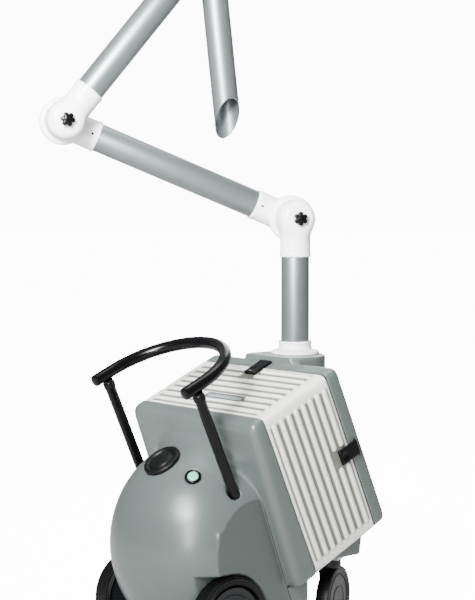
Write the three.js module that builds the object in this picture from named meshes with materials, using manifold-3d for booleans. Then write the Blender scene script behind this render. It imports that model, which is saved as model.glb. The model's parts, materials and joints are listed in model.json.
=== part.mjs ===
// Mobile fume extractor: a wheeled filter cart with a round front fan housing, a ribbed filter casing
// that leans forward, a push handle, and a three-joint extraction arm of aluminium tube on its back.
// Millimetres. +X is the cart's right side, +Y its rear, +Z up; the floor is z = 0.

import * as THREE from 'three';
import { mergeVertices } from 'three/addons/utils/BufferGeometryUtils.js';
import Module from 'manifold-3d';

const wasm = await Module();
wasm.setup();

const degrees = THREE.MathUtils.degToRad;

// Clearances
const FIT = 0.3;            // between pieces that seat on or in each other
const SWIVEL_FIT = 0.8;     // between a tube and the bore it turns in
const RUN = 1.5;            // between a wheel and what carries it

// Filter casing, measured in its own leaning frame (x, depth, height)
const CASE_WIDTH = 490;
const CASE_DEPTH = 232;
const CASE_HEIGHT = 454;
const CASE_LEAN = degrees(24);
const CASE_EDGE_Y = 185;    // front bottom edge of the casing in the cart
const CASE_EDGE_Z = 195;
const CASE_WALL = 8;
const CASE_CORNER = 12;
const CASE_INNER_CORNER = 8;
const SEAL_THICK = 2.7;
const SEAL_BAND = 10;
const RIB_COUNT = 8;
const RIB_WIDTH = 16;
const RIB_HEIGHT = 5;
const RIB_MARGIN = 30;

// Front shell of the casing, deeper at its foot than at its head
const SHELL_DEPTH_TOP = 42;
const SHELL_DEPTH_FOOT = 72;
const SHELL_LIP = 3;        // how far the shell stands proud of the casing
const SHELL_WALL = 6;
const SHELL_ROUND = 14;

// Rear cover with the arm seat
const COVER_DEPTH = 45;
const COVER_WALL = 6;
const COVER_ROUND = 14;
const SEAT_RISE = 123;      // seat's top above the casing's upper front edge
const SEAT_FOOT_Z = 360;
const SEAT_WIDTH = 206;
const SEAT_BEHIND = 70;     // seat edge behind the column axis
const SEAT_ROUND = 98;

// Filters in the casing, from the front
const CARBON_SHARE = 0.31;  // of the depth that the three filters fill
const PREFILTER_SHARE = 0.11;
const FILTER_SPACE = 9;     // free depth before and behind the filters

// Round front housing: an ellipsoid with flat sides
const EGG_X = 236;
const EGG_Y = 245;
const EGG_Z = 266;
const EGG_CENTRE_Y = 15;
const EGG_CENTRE_Z = 271;
const HOUSING_WIDTH = 410;
const HOUSING_WALL = 6;
const BELLY_Z = 48;
const SKIRT_FRONT_Y = -100;

// Chassis base under the casing
const TAIL_INSET = 5;       // tail's top edge ahead of the casing's rear edge
const TAIL_RAKE = 34;       // tail's foot ahead of its top
const BASE_WALL = 6;
const DECK_Z = 215;         // underside of the deck over the castors
const DECK_FRONT_Y = 192;   // front of the room in which the castors swivel

// Front wheels
const WHEEL_RADIUS = 111;
const WHEEL_WIDTH = 45;
const WHEEL_Y = -65;
const WHEEL_OUTER_X = 217;
const WHEEL_WELL_GAP = 5;
const TYRE_THICK = 26;
const AXLE_RADIUS = 9;
const HUB_INSET = 6;
const HUB_CROWN = 3;

// Rear castors
const CASTOR_RADIUS = 90;
const CASTOR_WIDTH = 36;
const CASTOR_X = 155;
const CASTOR_Y = 315;
const CASTOR_TRAIL = 25;
const CASTOR_TURN = degrees(26);
const CASTOR_TYRE = 22;
const CASTOR_PLATE = 6;
const CASTOR_PLATE_HALF = 36;
const CASTOR_STEM_RADIUS = 8;
const CASTOR_CROWN_RADIUS = 30;
const CASTOR_AXLE_RADIUS = 6;
const FORK_WALL = 6;
const FORK_CAP = 4;         // closed end of the wheel's bore, on its outer side
const FORK_FRONT = 22;      // fork's bridge ahead of and behind the stem
const FORK_BACK = 30;
const FORK_TIP = 13;        // half width of a fork leg at the axle

// Fan inside the front housing
const FAN_HEIGHT = 150;     // fan axis above the foot of the front shell
const SCROLL_RADIUS = 132;
const SCROLL_DEPTH = 92;
const SCROLL_WALL = 4;
const FAN_INLET_RADIUS = 68;
const IMPELLER_RADIUS = 104;
const IMPELLER_DEPTH = 60;
const BLADE_COUNT = 12;
const MOTOR_RADIUS = 54;
const MOTOR_LENGTH = 88;
const MOTOR_SHAFT_RADIUS = 6;

// Push handle, in the casing's leaning frame
const GRIP_RADIUS = 15.5;
const GRIP_HALF_WIDTH = 184;
const GRIP_LEG = 62;
const GRIP_RISE = 144;      // grip axis above the casing's top
const GRIP_END_DEPTH = -153;
const POST_RADIUS = 13.5;
const POST_INSET = 40;      // post axis behind the grip's end
const POST_INSERT = 34;     // depth of the post in its socket
const POST_COLLAR_RADIUS = 15.5;
const POST_COLLAR_HEIGHT = 14;

// Controls on the front housing: places are angles round the ellipsoid
const BUTTON_TURN = degrees(0);
const BUTTON_LIFT = degrees(56);
const BUTTON_RADIUS = 34;
const BEZEL_RADIUS = 50;
const BEZEL_DEPTH = 7;
const BEZEL_PROUD = 4;
const BUTTON_TRAVEL = 4;
const SWITCH_RADIUS = 28;
const SWITCH_LENGTH = 36;
const LAMP_TURN = degrees(42.5);
const LAMP_LIFT = degrees(46.3);
const LENS_RADIUS = 14;
const LAMP_RADIUS = 20;
const LAMP_DEPTH = 4;
const LAMP_PROUD = 3;

// Latches that hold the rear cover on the casing
const LATCH_LENGTH = 68;
const LATCH_WIDTH = 40;
const LATCH_THICK = 9;
const LATCH_LIFT = 6;       // pin height above the casing's side
const LATCH_PIN_RADIUS = 2;
const LATCH_PIN_SETBACK = 18;
const LATCH_EAR = 5;
const KEEPER_LENGTH = 9;
const KEEPER_HEIGHT = 8;
const SIDE_LATCH_HEIGHT = 235;
const LABEL_LENGTH = 146;
const LABEL_WIDTH = 26;
const LABEL_THICK = 5;
const LABEL_X = 32;
const LABEL_DEPTH = 64;

// Extraction arm
const TUBE_RADIUS = 37.5;
const TUBE_WALL = 2;
const HOOD_RADIUS = 35.5;
const COLUMN_Y = 332;
const SHOULDER_Z = 1095;
const LOWER_ARM = 665;
const UPPER_ARM = 631;
const HOOD_LENGTH = 478;    // wrist axis to the middle of the mouth
const ARM_HEADING = degrees(-27.5);
const LOWER_LIFT = degrees(22.5);
const UPPER_LIFT = degrees(51);
const HOOD_DROP = degrees(84);
const HOOD_CUT = degrees(56);
const HOOD_FACE_TURN = degrees(74);
const FLANGE_RADIUS = 65;
const FLANGE_THICK = 9;
const SLEEVE_RADIUS = 44;
const SLEEVE_HEIGHT = 34;
const COLUMN_INSERT = 30;   // tube below the arm seat's top

// Ball-shaped friction joint of the arm: two halves that meet at a disc
const JOINT_RADIUS = 62;
const JOINT_RIM = 10;
const DOME_RADIUS = 49;
const TUBE_OFFSET = 42;     // tube axis from the joint's middle plane
const DOME_CROWN = 4;       // dome above the socket
const SOCKET_WALL = 2.4;
const SOCKET_REACH = 102;
const SOCKET_SEAT = 54;     // tube end from the joint axis
const DUCT_RADIUS = 32;
const DISC_THICK = 2;
const DISC_BORE = 37;
const BOLT_RADIUS = 5;
const BOLT_HEAD_RADIUS = 9;
const BOLT_HEAD_THICK = 5;
const KNOB_RADIUS = 19;
const KNOB_HEIGHT = 20;
const KNOB_TIP = 4;         // closed end of the knob over the bolt
const WING_LENGTH = 78;
const WING_WIDTH = 17;
const WING_THICK = 4;
const THUMB_RADIUS = 3;
const THUMB_HEAD = 8;
const THUMB_HEAD_THICK = 7;
const THUMB_REACH = 84;     // along the socket from the joint axis

// Openings in the tail
const GRILLE_WIDTH = 150;
const GRILLE_HEIGHT = 44;
const GRILLE_THICK = 4;
const GRILLE_RIM = 8;       // border round the slots
const GRILLE_SLOTS = 4;
const GRILLE_SLOT = 5;
const GRILLE_Z = 249;
const INLET_WIDTH = 50;
const INLET_HEIGHT = 28;
const INLET_DEPTH = 26;
const INLET_WALL = 3;
const INLET_X = -130;
const INLET_Z = 249;

const finishes = {
  housing: { color: 0x8f9999, roughness: 0.42, metalness: 0 },
  casing: { color: 0xe2e1da, roughness: 0.4, metalness: 0 },
  white: { color: 0xeceeee, roughness: 0.32, metalness: 0 },
  black: { color: 0x1b1d1f, roughness: 0.5, metalness: 0 },
  rubber: { color: 0x17181a, roughness: 0.75, metalness: 0 },
  hub: { color: 0x34383b, roughness: 0.45, metalness: 0 },
  tube: { color: 0xa9adb0, roughness: 0.35, metalness: 0.9 },
  steel: { color: 0xb4b8ba, roughness: 0.35, metalness: 1 },
  lens: { color: 0x9fe0c4, roughness: 0.15, metalness: 0 },
  filter: { color: 0xd9d6c6, roughness: 0.9, metalness: 0 },
  carbon: { color: 0x25272a, roughness: 0.9, metalness: 0 },
  plate: { color: 0xb9bdbd, roughness: 0.4, metalness: 0.3 },
};

// Solid modelling helpers

function solidFrom(geometry, matrix) {
  const bare = geometry.clone();
  bare.deleteAttribute('normal');
  bare.deleteAttribute('uv');
  if (matrix) bare.applyMatrix4(matrix);
  const merged = mergeVertices(bare, 1e-4);
  return new wasm.Manifold(new wasm.Mesh({
    numProp: 3,
    vertProperties: Float32Array.from(merged.attributes.position.array),
    triVerts: Uint32Array.from(merged.index.array),
  }));
}

function geometryFrom(solid) {
  const { vertProperties, triVerts } = solid.getMesh();
  const geometry = new THREE.BufferGeometry();
  geometry.setAttribute('position', new THREE.BufferAttribute(vertProperties, 3));
  geometry.setIndex(new THREE.BufferAttribute(triVerts, 1));
  geometry.computeVertexNormals();
  return geometry;
}

const joined = (...solids) => solids.reduce((sum, solid) => sum.add(solid));
const cut = (solid, ...tools) => tools.reduce((rest, tool) => rest.subtract(tool), solid);
const vector = (x, y, z) => new THREE.Vector3(x, y, z);

function block([x0, x1], [y0, y1], [z0, z1], matrix) {
  const geometry = new THREE.BoxGeometry(x1 - x0, y1 - y0, z1 - z0);
  geometry.translate((x0 + x1) / 2, (y0 + y1) / 2, (z0 + z1) / 2);
  return solidFrom(geometry, matrix);
}

// Matrix that carries +Z onto a direction, at a point
function facing(point, direction) {
  const turn = new THREE.Quaternion().setFromUnitVectors(vector(0, 0, 1), direction.clone().normalize());
  return new THREE.Matrix4().compose(point, turn, vector(1, 1, 1));
}

function rod(radius, from, to, matrix, sides = 16) {
  const along = to.clone().sub(from);
  const geometry = new THREE.CylinderGeometry(radius, radius, along.length(), sides);
  geometry.rotateX(Math.PI / 2);
  geometry.translate(0, 0, along.length() / 2);
  const place = facing(from, along);
  return solidFrom(geometry, matrix ? place.premultiply(matrix) : place);
}

// Turned solid about +Z from (radius, height) points
function turned(points, matrix, sides = 24) {
  const geometry = new THREE.LatheGeometry(points.map(([r, h]) => new THREE.Vector2(r, h)), sides);
  geometry.rotateX(Math.PI / 2);
  return solidFrom(geometry, matrix);
}

function pipe(outer, inner, from, to, matrix, sides = 24) {
  const axis = to.clone().sub(from).normalize();
  const bore = rod(inner, from.clone().sub(axis), to.clone().add(axis), matrix, sides);
  return rod(outer, from, to, matrix, sides).subtract(bore);
}

// Outline in the (y, z) plane drawn out along x
function slice(points, [x0, x1], matrix, bevel = 0) {
  const shape = new THREE.Shape(points.map(([y, z]) => new THREE.Vector2(y, z)));
  const geometry = new THREE.ExtrudeGeometry(shape, {
    depth: x1 - x0 - 2 * bevel,
    bevelEnabled: bevel > 0,
    bevelSize: bevel,
    bevelThickness: bevel,
    bevelOffset: -bevel,
    bevelSegments: 2,
  });
  geometry.translate(0, 0, x0 + bevel);
  const place = new THREE.Matrix4().makeBasis(vector(0, 1, 0), vector(0, 0, 1), vector(1, 0, 0));
  return solidFrom(geometry, matrix ? place.premultiply(matrix) : place);
}

function roundedOutline(width, height, radius) {
  const shape = new THREE.Shape();
  const [x, y] = [width / 2, height / 2];
  shape.moveTo(-x + radius, -y);
  shape.lineTo(x - radius, -y);
  shape.absarc(x - radius, -y + radius, radius, -Math.PI / 2, 0);
  shape.lineTo(x, y - radius);
  shape.absarc(x - radius, y - radius, radius, 0, Math.PI / 2);
  shape.lineTo(-x + radius, y);
  shape.absarc(-x + radius, y - radius, radius, Math.PI / 2, Math.PI);
  shape.lineTo(-x, -y + radius);
  shape.absarc(-x + radius, -y + radius, radius, Math.PI, Math.PI * 1.5);
  return shape;
}

// Rounded box: outline across x and z, drawn out along y
function roundedBox(width, height, [y0, y1], radius, centre, matrix, bevel = 0) {
  const geometry = new THREE.ExtrudeGeometry(roundedOutline(width, height, radius), {
    depth: y1 - y0 - 2 * bevel,
    bevelEnabled: bevel > 0,
    bevelSize: bevel,
    bevelThickness: bevel,
    bevelOffset: -bevel,
    bevelSegments: 2,
    curveSegments: 3,
  });
  geometry.translate(0, 0, bevel);
  geometry.rotateX(Math.PI / 2);
  geometry.translate(centre[0], y1, centre[1]);
  return solidFrom(geometry, matrix);
}

const cart = new THREE.Group();

function part(name, finish, solid, group = cart) {
  const mesh = new THREE.Mesh(geometryFrom(solid), new THREE.MeshStandardMaterial(finishes[finish]));
  mesh.name = name;
  group.add(mesh);
  return mesh;
}

// Leaning frame of the casing, and the frame of the front shell's sloping face
const leaning = new THREE.Group();
leaning.position.set(0, CASE_EDGE_Y, CASE_EDGE_Z);
leaning.rotation.x = CASE_LEAN;
leaning.updateMatrix();
cart.add(leaning);
const lean = leaning.matrix;

const shellTaper = Math.atan2(SHELL_DEPTH_FOOT - SHELL_DEPTH_TOP, CASE_HEIGHT);
const fanFrame = new THREE.Group();
fanFrame.position.set(0, -SHELL_DEPTH_FOOT, 0);
fanFrame.rotation.x = -shellTaper;
fanFrame.updateMatrix();
leaning.add(fanFrame);
const faceMatrix = lean.clone().multiply(fanFrame.matrix);

const halfCase = CASE_WIDTH / 2;
const caseFront = SEAL_THICK + FIT;
const caseBack = CASE_DEPTH - SEAL_THICK - FIT;
const mid = CASE_HEIGHT / 2;

// Filter casing: an open ribbed frame

function casingSolid() {
  const span = [caseFront, caseBack];
  const outer = roundedBox(CASE_WIDTH, CASE_HEIGHT, span, CASE_CORNER, [0, mid]);
  const inner = roundedBox(CASE_WIDTH - 2 * CASE_WALL, CASE_HEIGHT - 2 * CASE_WALL,
    [span[0] - 1, span[1] + 1], CASE_INNER_CORNER, [0, mid]);
  const pitch = (caseBack - caseFront - RIB_WIDTH) / RIB_COUNT;
  const ribs = [];
  for (let i = 0; i < RIB_COUNT; i += 1) {
    const start = caseFront + pitch * (i + 0.5);
    const foot = [start, start + RIB_WIDTH];
    ribs.push({ foot, crown: [foot[0] + RIB_HEIGHT, foot[1] - RIB_HEIGHT] });
  }
  const rail = ({ foot, crown }) => {
    const shape = [[foot[0], -1], [foot[1], -1], [foot[1], 0], [crown[1], RIB_HEIGHT],
      [crown[0], RIB_HEIGHT], [foot[0], 0]];
    return shape;
  };
  const sideLength = CASE_HEIGHT - 2 * RIB_MARGIN;
  const topLength = CASE_WIDTH - 2 * RIB_MARGIN;
  const top = new THREE.Matrix4().makeTranslation(0, 0, CASE_HEIGHT);
  const right = new THREE.Matrix4().makeRotationY(Math.PI / 2);
  right.premultiply(new THREE.Matrix4().makeTranslation(halfCase, 0, mid));
  const left = new THREE.Matrix4().makeRotationY(-Math.PI / 2);
  left.premultiply(new THREE.Matrix4().makeTranslation(-halfCase, 0, mid));
  const solids = ribs.flatMap((rib) => [
    slice(rail(rib), [-topLength / 2, topLength / 2], top),
    slice(rail(rib), [-sideLength / 2, sideLength / 2], right),
    slice(rail(rib), [-sideLength / 2, sideLength / 2], left),
  ]);
  return joined(outer, ...solids).subtract(inner);
}

// Latch places: a matrix whose y runs to the rear and whose z stands off the casing
const latchPlaces = {
  top: new THREE.Matrix4().makeTranslation(0, 0, CASE_HEIGHT),
  right: new THREE.Matrix4().makeTranslation(halfCase, 0, SIDE_LATCH_HEIGHT)
    .multiply(new THREE.Matrix4().makeRotationY(Math.PI / 2)),
  left: new THREE.Matrix4().makeTranslation(-halfCase, 0, SIDE_LATCH_HEIGHT)
    .multiply(new THREE.Matrix4().makeRotationY(-Math.PI / 2)),
};
const latchPinDepth = CASE_DEPTH + LATCH_PIN_SETBACK;
const latchTip = latchPinDepth + LATCH_THICK / 2 - LATCH_LENGTH;
const latchBed = (place) => block(
  [-LATCH_WIDTH / 2 - 2 * FIT, LATCH_WIDTH / 2 + 2 * FIT],
  [latchTip - 2 * KEEPER_LENGTH, caseBack + 1], [-FIT, 2 * RIB_HEIGHT], place);

const keeperHalf = LATCH_WIDTH * 0.35;
const keeper = (place) => block([-keeperHalf, keeperHalf],
  [latchTip - FIT - KEEPER_LENGTH, latchTip - FIT], [-1, KEEPER_HEIGHT], place);

let casing = casingSolid();
for (const place of Object.values(latchPlaces)) casing = casing.subtract(latchBed(place)).add(keeper(place));
const labelBed = block([LABEL_X - LABEL_LENGTH / 2 - FIT, LABEL_X + LABEL_LENGTH / 2 + FIT],
  [LABEL_DEPTH - LABEL_WIDTH / 2 - FIT, LABEL_DEPTH + LABEL_WIDTH / 2 + FIT],
  [CASE_HEIGHT - FIT, CASE_HEIGHT + 2 * RIB_HEIGHT]);
part('filter_casing', 'casing', casing.subtract(labelBed), leaning);

part('label_plate', 'plate', block([LABEL_X - LABEL_LENGTH / 2, LABEL_X + LABEL_LENGTH / 2],
  [LABEL_DEPTH - LABEL_WIDTH / 2, LABEL_DEPTH + LABEL_WIDTH / 2],
  [CASE_HEIGHT + FIT, CASE_HEIGHT + FIT + LABEL_THICK]), leaning);

function sealSolid(y0) {
  const outer = roundedBox(CASE_WIDTH - 4, CASE_HEIGHT - 4, [y0, y0 + SEAL_THICK], CASE_CORNER, [0, mid]);
  const inner = roundedBox(CASE_WIDTH - 4 - 2 * SEAL_BAND, CASE_HEIGHT - 4 - 2 * SEAL_BAND,
    [y0 - 1, y0 + SEAL_THICK + 1], CASE_CORNER, [0, mid]);
  return outer.subtract(inner);
}

part('front_seal', 'rubber', sealSolid(0), leaning);
part('rear_seal', 'rubber', sealSolid(CASE_DEPTH - SEAL_THICK), leaning);

// Filters, stacked between the casing's walls
const filterWidth = CASE_WIDTH - 2 * (CASE_WALL + FIT);
const filterHeight = CASE_HEIGHT - 2 * (CASE_WALL + FIT);
const filterDepth = caseBack - caseFront - 2 * FILTER_SPACE - 2 * FIT;
let filterFront = caseFront + FILTER_SPACE;
for (const [name, finish, share] of [
  ['carbon_filter', 'carbon', CARBON_SHARE],
  ['particle_filter', 'filter', 1 - CARBON_SHARE - PREFILTER_SHARE],
  ['prefilter_mat', 'filter', PREFILTER_SHARE],
]) {
  const thick = filterDepth * share;
  const depth = [filterFront, filterFront + thick];
  part(name, finish, roundedBox(filterWidth, filterHeight, depth, CASE_INNER_CORNER, [0, mid]), leaning);
  filterFront += thick + FIT;
}

// Front shell: tapered tray with rounded edges, and the fan's inlet in its face

function shellSolid() {
  const foot = -SHELL_LIP;
  const head = CASE_HEIGHT + SHELL_LIP;
  const slope = (SHELL_DEPTH_FOOT - SHELL_DEPTH_TOP) / CASE_HEIGHT;
  const front = (z) => -SHELL_DEPTH_FOOT + slope * z;
  const outline = [[-FIT, foot], [-FIT, head], [front(head), head], [front(foot), foot]];
  const half = halfCase + SHELL_LIP;
  const outer = slice(outline, [-half, half], null, SHELL_ROUND);
  const squared = block([-half, half], [-FIT - SHELL_ROUND, -FIT], [foot, head]);
  const back = roundedBox(2 * half, head - foot, [-FIT - SHELL_ROUND, -FIT], SHELL_ROUND, [0, mid]);
  const inside = halfCase - CASE_WALL;
  const room = [[1, CASE_WALL], [1, CASE_HEIGHT - CASE_WALL],
    [front(CASE_HEIGHT - CASE_WALL) + SHELL_WALL, CASE_HEIGHT - CASE_WALL],
    [front(CASE_WALL) + SHELL_WALL, CASE_WALL]];
  const inlet = rod(FAN_INLET_RADIUS, vector(0, -SHELL_WALL, FAN_HEIGHT), vector(0, 2 * SHELL_WALL, FAN_HEIGHT),
    fanFrame.matrix, 32);
  const whole = joined(outer.subtract(squared), back);
  return cut(whole, slice(room, [-inside, inside]), inlet);
}

part('front_shell', 'housing', shellSolid(), leaning);

// Rear cover: a tray behind the casing, with an upright seat for the arm on its back

const coverFront = CASE_DEPTH + FIT;
const coverBack = CASE_DEPTH + COVER_DEPTH;
const seatTop = CASE_EDGE_Z + CASE_HEIGHT * Math.cos(CASE_LEAN) + SEAT_RISE;
const columnFoot = vector(0, COLUMN_Y, seatTop);

function seatBlock(inset, [z0, z1]) {
  const y0 = CASE_EDGE_Y;
  const y1 = COLUMN_Y + SEAT_BEHIND - inset;
  const width = SEAT_WIDTH - 2 * inset;
  const geometry = new THREE.ExtrudeGeometry(
    roundedOutline(width, y1 - y0, SEAT_ROUND - inset),
    { depth: z1 - z0, bevelEnabled: false, curveSegments: 5 });
  geometry.translate(0, (y0 + y1) / 2, z0);
  return solidFrom(geometry);
}

function coverSolid() {
  const tray = roundedBox(CASE_WIDTH, CASE_HEIGHT, [coverFront, coverBack], CASE_CORNER, [0, mid], lean, 0);
  const chamfer = roundedBox(CASE_WIDTH, CASE_HEIGHT, [coverFront - COVER_ROUND, coverBack], CASE_CORNER, [0, mid],
    lean, COVER_ROUND / 2);
  const reach = seatTop;
  const behind = (y) => block([-reach, reach], [y, y + reach], [-reach, 2 * reach], lean);
  const inside = roundedBox(CASE_WIDTH - 2 * CASE_WALL, CASE_HEIGHT - 2 * CASE_WALL,
    [coverFront - 1, coverBack - COVER_WALL], CASE_CORNER, [0, mid], lean);
  const seatFront = latchPinDepth + LATCH_THICK;
  const seat = seatBlock(0, [SEAT_FOOT_Z, seatTop]).intersect(behind(seatFront));
  const duct = seatBlock(COVER_WALL, [SEAT_FOOT_Z + COVER_WALL, seatTop - COVER_WALL])
    .intersect(behind(seatFront + COVER_WALL));
  const bore = rod(TUBE_RADIUS + 2 * FIT, columnFoot.clone().setZ(seatTop - 3 * COVER_WALL),
    columnFoot.clone().setZ(seatTop + 1), null, 32);
  const earSpan = LATCH_WIDTH / 2 + FIT;
  const ears = Object.values(latchPlaces).flatMap((place) => [-1, 1].map((side) => {
    const x = side > 0 ? [earSpan, earSpan + LATCH_EAR] : [-earSpan - LATCH_EAR, -earSpan];
    const ear = block(x, [latchPinDepth - 6, latchPinDepth + 6], [-1, LATCH_LIFT + 4],
      lean.clone().multiply(place));
    return ear;
  }));
  const pins = Object.values(latchPlaces).map((place) => rod(LATCH_PIN_RADIUS + FIT,
    vector(-LATCH_WIDTH, latchPinDepth, LATCH_LIFT), vector(LATCH_WIDTH, latchPinDepth, LATCH_LIFT),
    lean.clone().multiply(place), 10));
  return cut(joined(tray.intersect(chamfer), seat, ...ears), inside, duct, bore, ...pins);
}

part('rear_cover', 'housing', coverSolid());

// Latches: a lever whose pin turns in the cover's ears, and whose tip snaps behind the casing's keeper

for (const [side, place] of Object.entries(latchPlaces)) {
  const half = LATCH_WIDTH / 2;
  const low = LATCH_LIFT - LATCH_THICK / 2;
  const high = LATCH_LIFT + LATCH_THICK / 2;
  const arm = block([-half, half], [latchTip, latchPinDepth], [low, high], place);
  const barrel = rod(LATCH_THICK / 2, vector(-half, latchPinDepth, LATCH_LIFT),
    vector(half, latchPinDepth, LATCH_LIFT), place, 16);
  const pinEnd = half + FIT + LATCH_EAR;
  const pin = rod(LATCH_PIN_RADIUS, vector(-pinEnd, latchPinDepth, LATCH_LIFT),
    vector(pinEnd, latchPinDepth, LATCH_LIFT), place, 10);
  part(`latch_${side}`, 'black', joined(arm, barrel, pin), leaning);
}

// Front housing: egg with flat sides and straight skirts, cut where the front shell begins

const halfHousing = HOUSING_WIDTH / 2;
const wellInner = WHEEL_OUTER_X - WHEEL_WIDTH - WHEEL_WELL_GAP;
const wellReach = WHEEL_RADIUS + WHEEL_WELL_GAP;

function eggSolid(inset, sides, rings) {
  const geometry = new THREE.SphereGeometry(1, sides, rings);
  geometry.rotateX(Math.PI / 2);
  geometry.scale(EGG_X - inset, EGG_Y - inset, EGG_Z - inset);
  geometry.translate(0, EGG_CENTRE_Y, EGG_CENTRE_Z);
  return solidFrom(geometry);
}

function wellSolid(side, wall) {
  const inner = wellInner - wall;
  const outer = halfHousing + WHEEL_WIDTH;
  const x = side > 0 ? [inner, outer] : [-outer, -inner];
  const reach = wellReach + wall;
  const ahead = block(x, [WHEEL_Y - reach, WHEEL_Y], [-1, WHEEL_RADIUS + reach]);
  const below = block(x, [WHEEL_Y - reach, WHEEL_Y + reach], [-1, WHEEL_RADIUS]);
  const arch = rod(reach, vector(x[0], WHEEL_Y, WHEEL_RADIUS), vector(x[1], WHEEL_Y, WHEEL_RADIUS), null, 48);
  return joined(ahead, below, arch);
}

function eggPlace(turn, lift) {
  const unit = vector(Math.cos(lift) * Math.sin(turn), -Math.cos(lift) * Math.cos(turn), Math.sin(lift));
  const point = vector(unit.x * EGG_X, EGG_CENTRE_Y + unit.y * EGG_Y, EGG_CENTRE_Z + unit.z * EGG_Z);
  const normal = vector(unit.x / EGG_X, unit.y / EGG_Y, unit.z / EGG_Z).normalize();
  return facing(point, normal);
}

const buttonPlace = eggPlace(BUTTON_TURN, BUTTON_LIFT);
const lampPlace = eggPlace(LAMP_TURN, LAMP_LIFT);
const upright = (radius, z0, z1, place, sides) => rod(radius, vector(0, 0, z0), vector(0, 0, z1), place, sides);

// Posts run along the casing's height, at the ends of the grip
const postDepth = GRIP_END_DEPTH + POST_INSET;
const gripHeight = CASE_HEIGHT + GRIP_RISE;
const postTop = gripHeight - GRIP_RADIUS - FIT;

// Height in the casing's frame where a post's axis enters the egg
function postEntry() {
  const foot = vector(GRIP_HALF_WIDTH, postDepth, 0).applyMatrix4(lean);
  const up = vector(0, 0, 1).transformDirection(lean);
  const scale = vector(1 / EGG_X, 1 / EGG_Y, 1 / EGG_Z);
  const start = foot.sub(vector(0, EGG_CENTRE_Y, EGG_CENTRE_Z)).multiply(scale);
  const step = up.multiply(scale);
  const [a, b, c] = [step.dot(step), start.dot(step), start.dot(start) - 1];
  return (-b + Math.sqrt(b * b - a * c)) / a;
}

const postFoot = postEntry() - POST_INSERT;

function housingSolid() {
  const far = 2 * EGG_Z;
  const inFront = (gap) => block([-far, far], [-2 * far, -gap], [-2 * far, 2 * far], faceMatrix);
  const skirt = (inset, low) => slice([
    [SKIRT_FRONT_Y + inset, low],
    [SKIRT_FRONT_Y + inset, EGG_CENTRE_Z],
    [EGG_CENTRE_Y, EGG_CENTRE_Z + EGG_Z * 0.42 - inset],
    [far, EGG_CENTRE_Z + EGG_Z * 0.42 - inset],
    [far, low],
  ], [-halfHousing + inset, halfHousing - inset]);
  const above = (inset, low) => block([-halfHousing + inset, halfHousing - inset], [-far, far], [low, 2 * far]);
  const outer = eggSolid(0, 28, 18).intersect(above(0, BELLY_Z)).add(skirt(0, BELLY_Z));
  const floor = BELLY_Z + HOUSING_WALL;
  const room = eggSolid(HOUSING_WALL, 14, 10).intersect(above(HOUSING_WALL, floor)).add(skirt(HOUSING_WALL, floor));
  const posts = [-1, 1].map((side) => ({
    boss: rod(POST_RADIUS + 7, vector(side * GRIP_HALF_WIDTH, postDepth, postFoot - 10),
      vector(side * GRIP_HALF_WIDTH, postDepth, gripHeight), lean),
    bore: rod(POST_RADIUS + FIT, vector(side * GRIP_HALF_WIDTH, postDepth, postFoot - FIT),
      vector(side * GRIP_HALF_WIDTH, postDepth, gripHeight), lean, 20),
  }));
  const pads = [
    upright(BEZEL_RADIUS + 6, -BEZEL_DEPTH - HOUSING_WALL, BEZEL_DEPTH, buttonPlace),
    upright(LAMP_RADIUS + 6, -LAMP_DEPTH - HOUSING_WALL, LAMP_DEPTH, lampPlace),
  ];
  const wells = [-1, 1].map((side) => wellSolid(side, 0));
  const wellWalls = [-1, 1].map((side) => wellSolid(side, HOUSING_WALL));
  const hollow = cut(room, ...wellWalls, ...pads, ...posts.map(({ boss }) => boss));
  const pockets = [
    upright(BEZEL_RADIUS + FIT, -BEZEL_DEPTH, far / 4, buttonPlace, 24),
    upright(SWITCH_RADIUS + FIT, -BEZEL_DEPTH - SWITCH_LENGTH, 0, buttonPlace),
    upright(LAMP_RADIUS + FIT, -LAMP_DEPTH, far / 4, lampPlace, 24),
  ];
  const axle = rod(AXLE_RADIUS + FIT, vector(-far, WHEEL_Y, WHEEL_RADIUS), vector(far, WHEEL_Y, WHEEL_RADIUS));
  const body = outer.intersect(inFront(FIT)).subtract(hollow.intersect(inFront(-1)));
  return cut(body, ...wells, ...pockets, axle, ...posts.map(({ bore }) => bore));
}

part('front_housing', 'housing', housingSolid());

// Chassis base: a hollow box under the casing, open below at the rear where the castors swivel

const tailTopY = CASE_EDGE_Y + CASE_DEPTH * Math.cos(CASE_LEAN) - TAIL_INSET;
const roof = (y) => CASE_EDGE_Z + (y - CASE_EDGE_Y) * Math.tan(CASE_LEAN) - (SHELL_LIP + FIT) / Math.cos(CASE_LEAN);

function baseOutline(inset) {
  const foot = vector(0, -SHELL_DEPTH_FOOT, -SHELL_LIP).applyMatrix4(lean);
  const down = vector(0, 0, -1).transformDirection(faceMatrix);
  const alongSeam = (z) => foot.y + down.y * (z - foot.z) / down.z + FIT;
  const low = BELLY_Z + inset;
  const seamTop = foot.y + FIT * 2;
  const tail = (z) => {
    const share = (z - BELLY_Z) / (roof(tailTopY) - BELLY_Z);
    return tailTopY - TAIL_RAKE * (1 - share) - inset;
  };
  const front = inset > 0 ? -SHELL_DEPTH_FOOT : 0;
  const roofTop = roof(tailTopY) - inset;
  return [
    [alongSeam(low) + front, low],
    [tail(low), low],
    [tail(roofTop), roofTop],
    [seamTop + front, roof(seamTop) - inset + front * Math.tan(CASE_LEAN)],
  ];
}

function tailMatrix() {
  const outline = baseOutline(0);
  const [low, high] = [outline[1], outline[2]];
  const angle = Math.atan2(high[0] - low[0], high[1] - low[1]);
  return new THREE.Matrix4().makeTranslation(0, low[0], low[1]).multiply(new THREE.Matrix4().makeRotationX(-angle));
}

const tailPlace = tailMatrix();
const grilleRise = GRILLE_Z - BELLY_Z;
const inletRise = INLET_Z - BELLY_Z;

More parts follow.
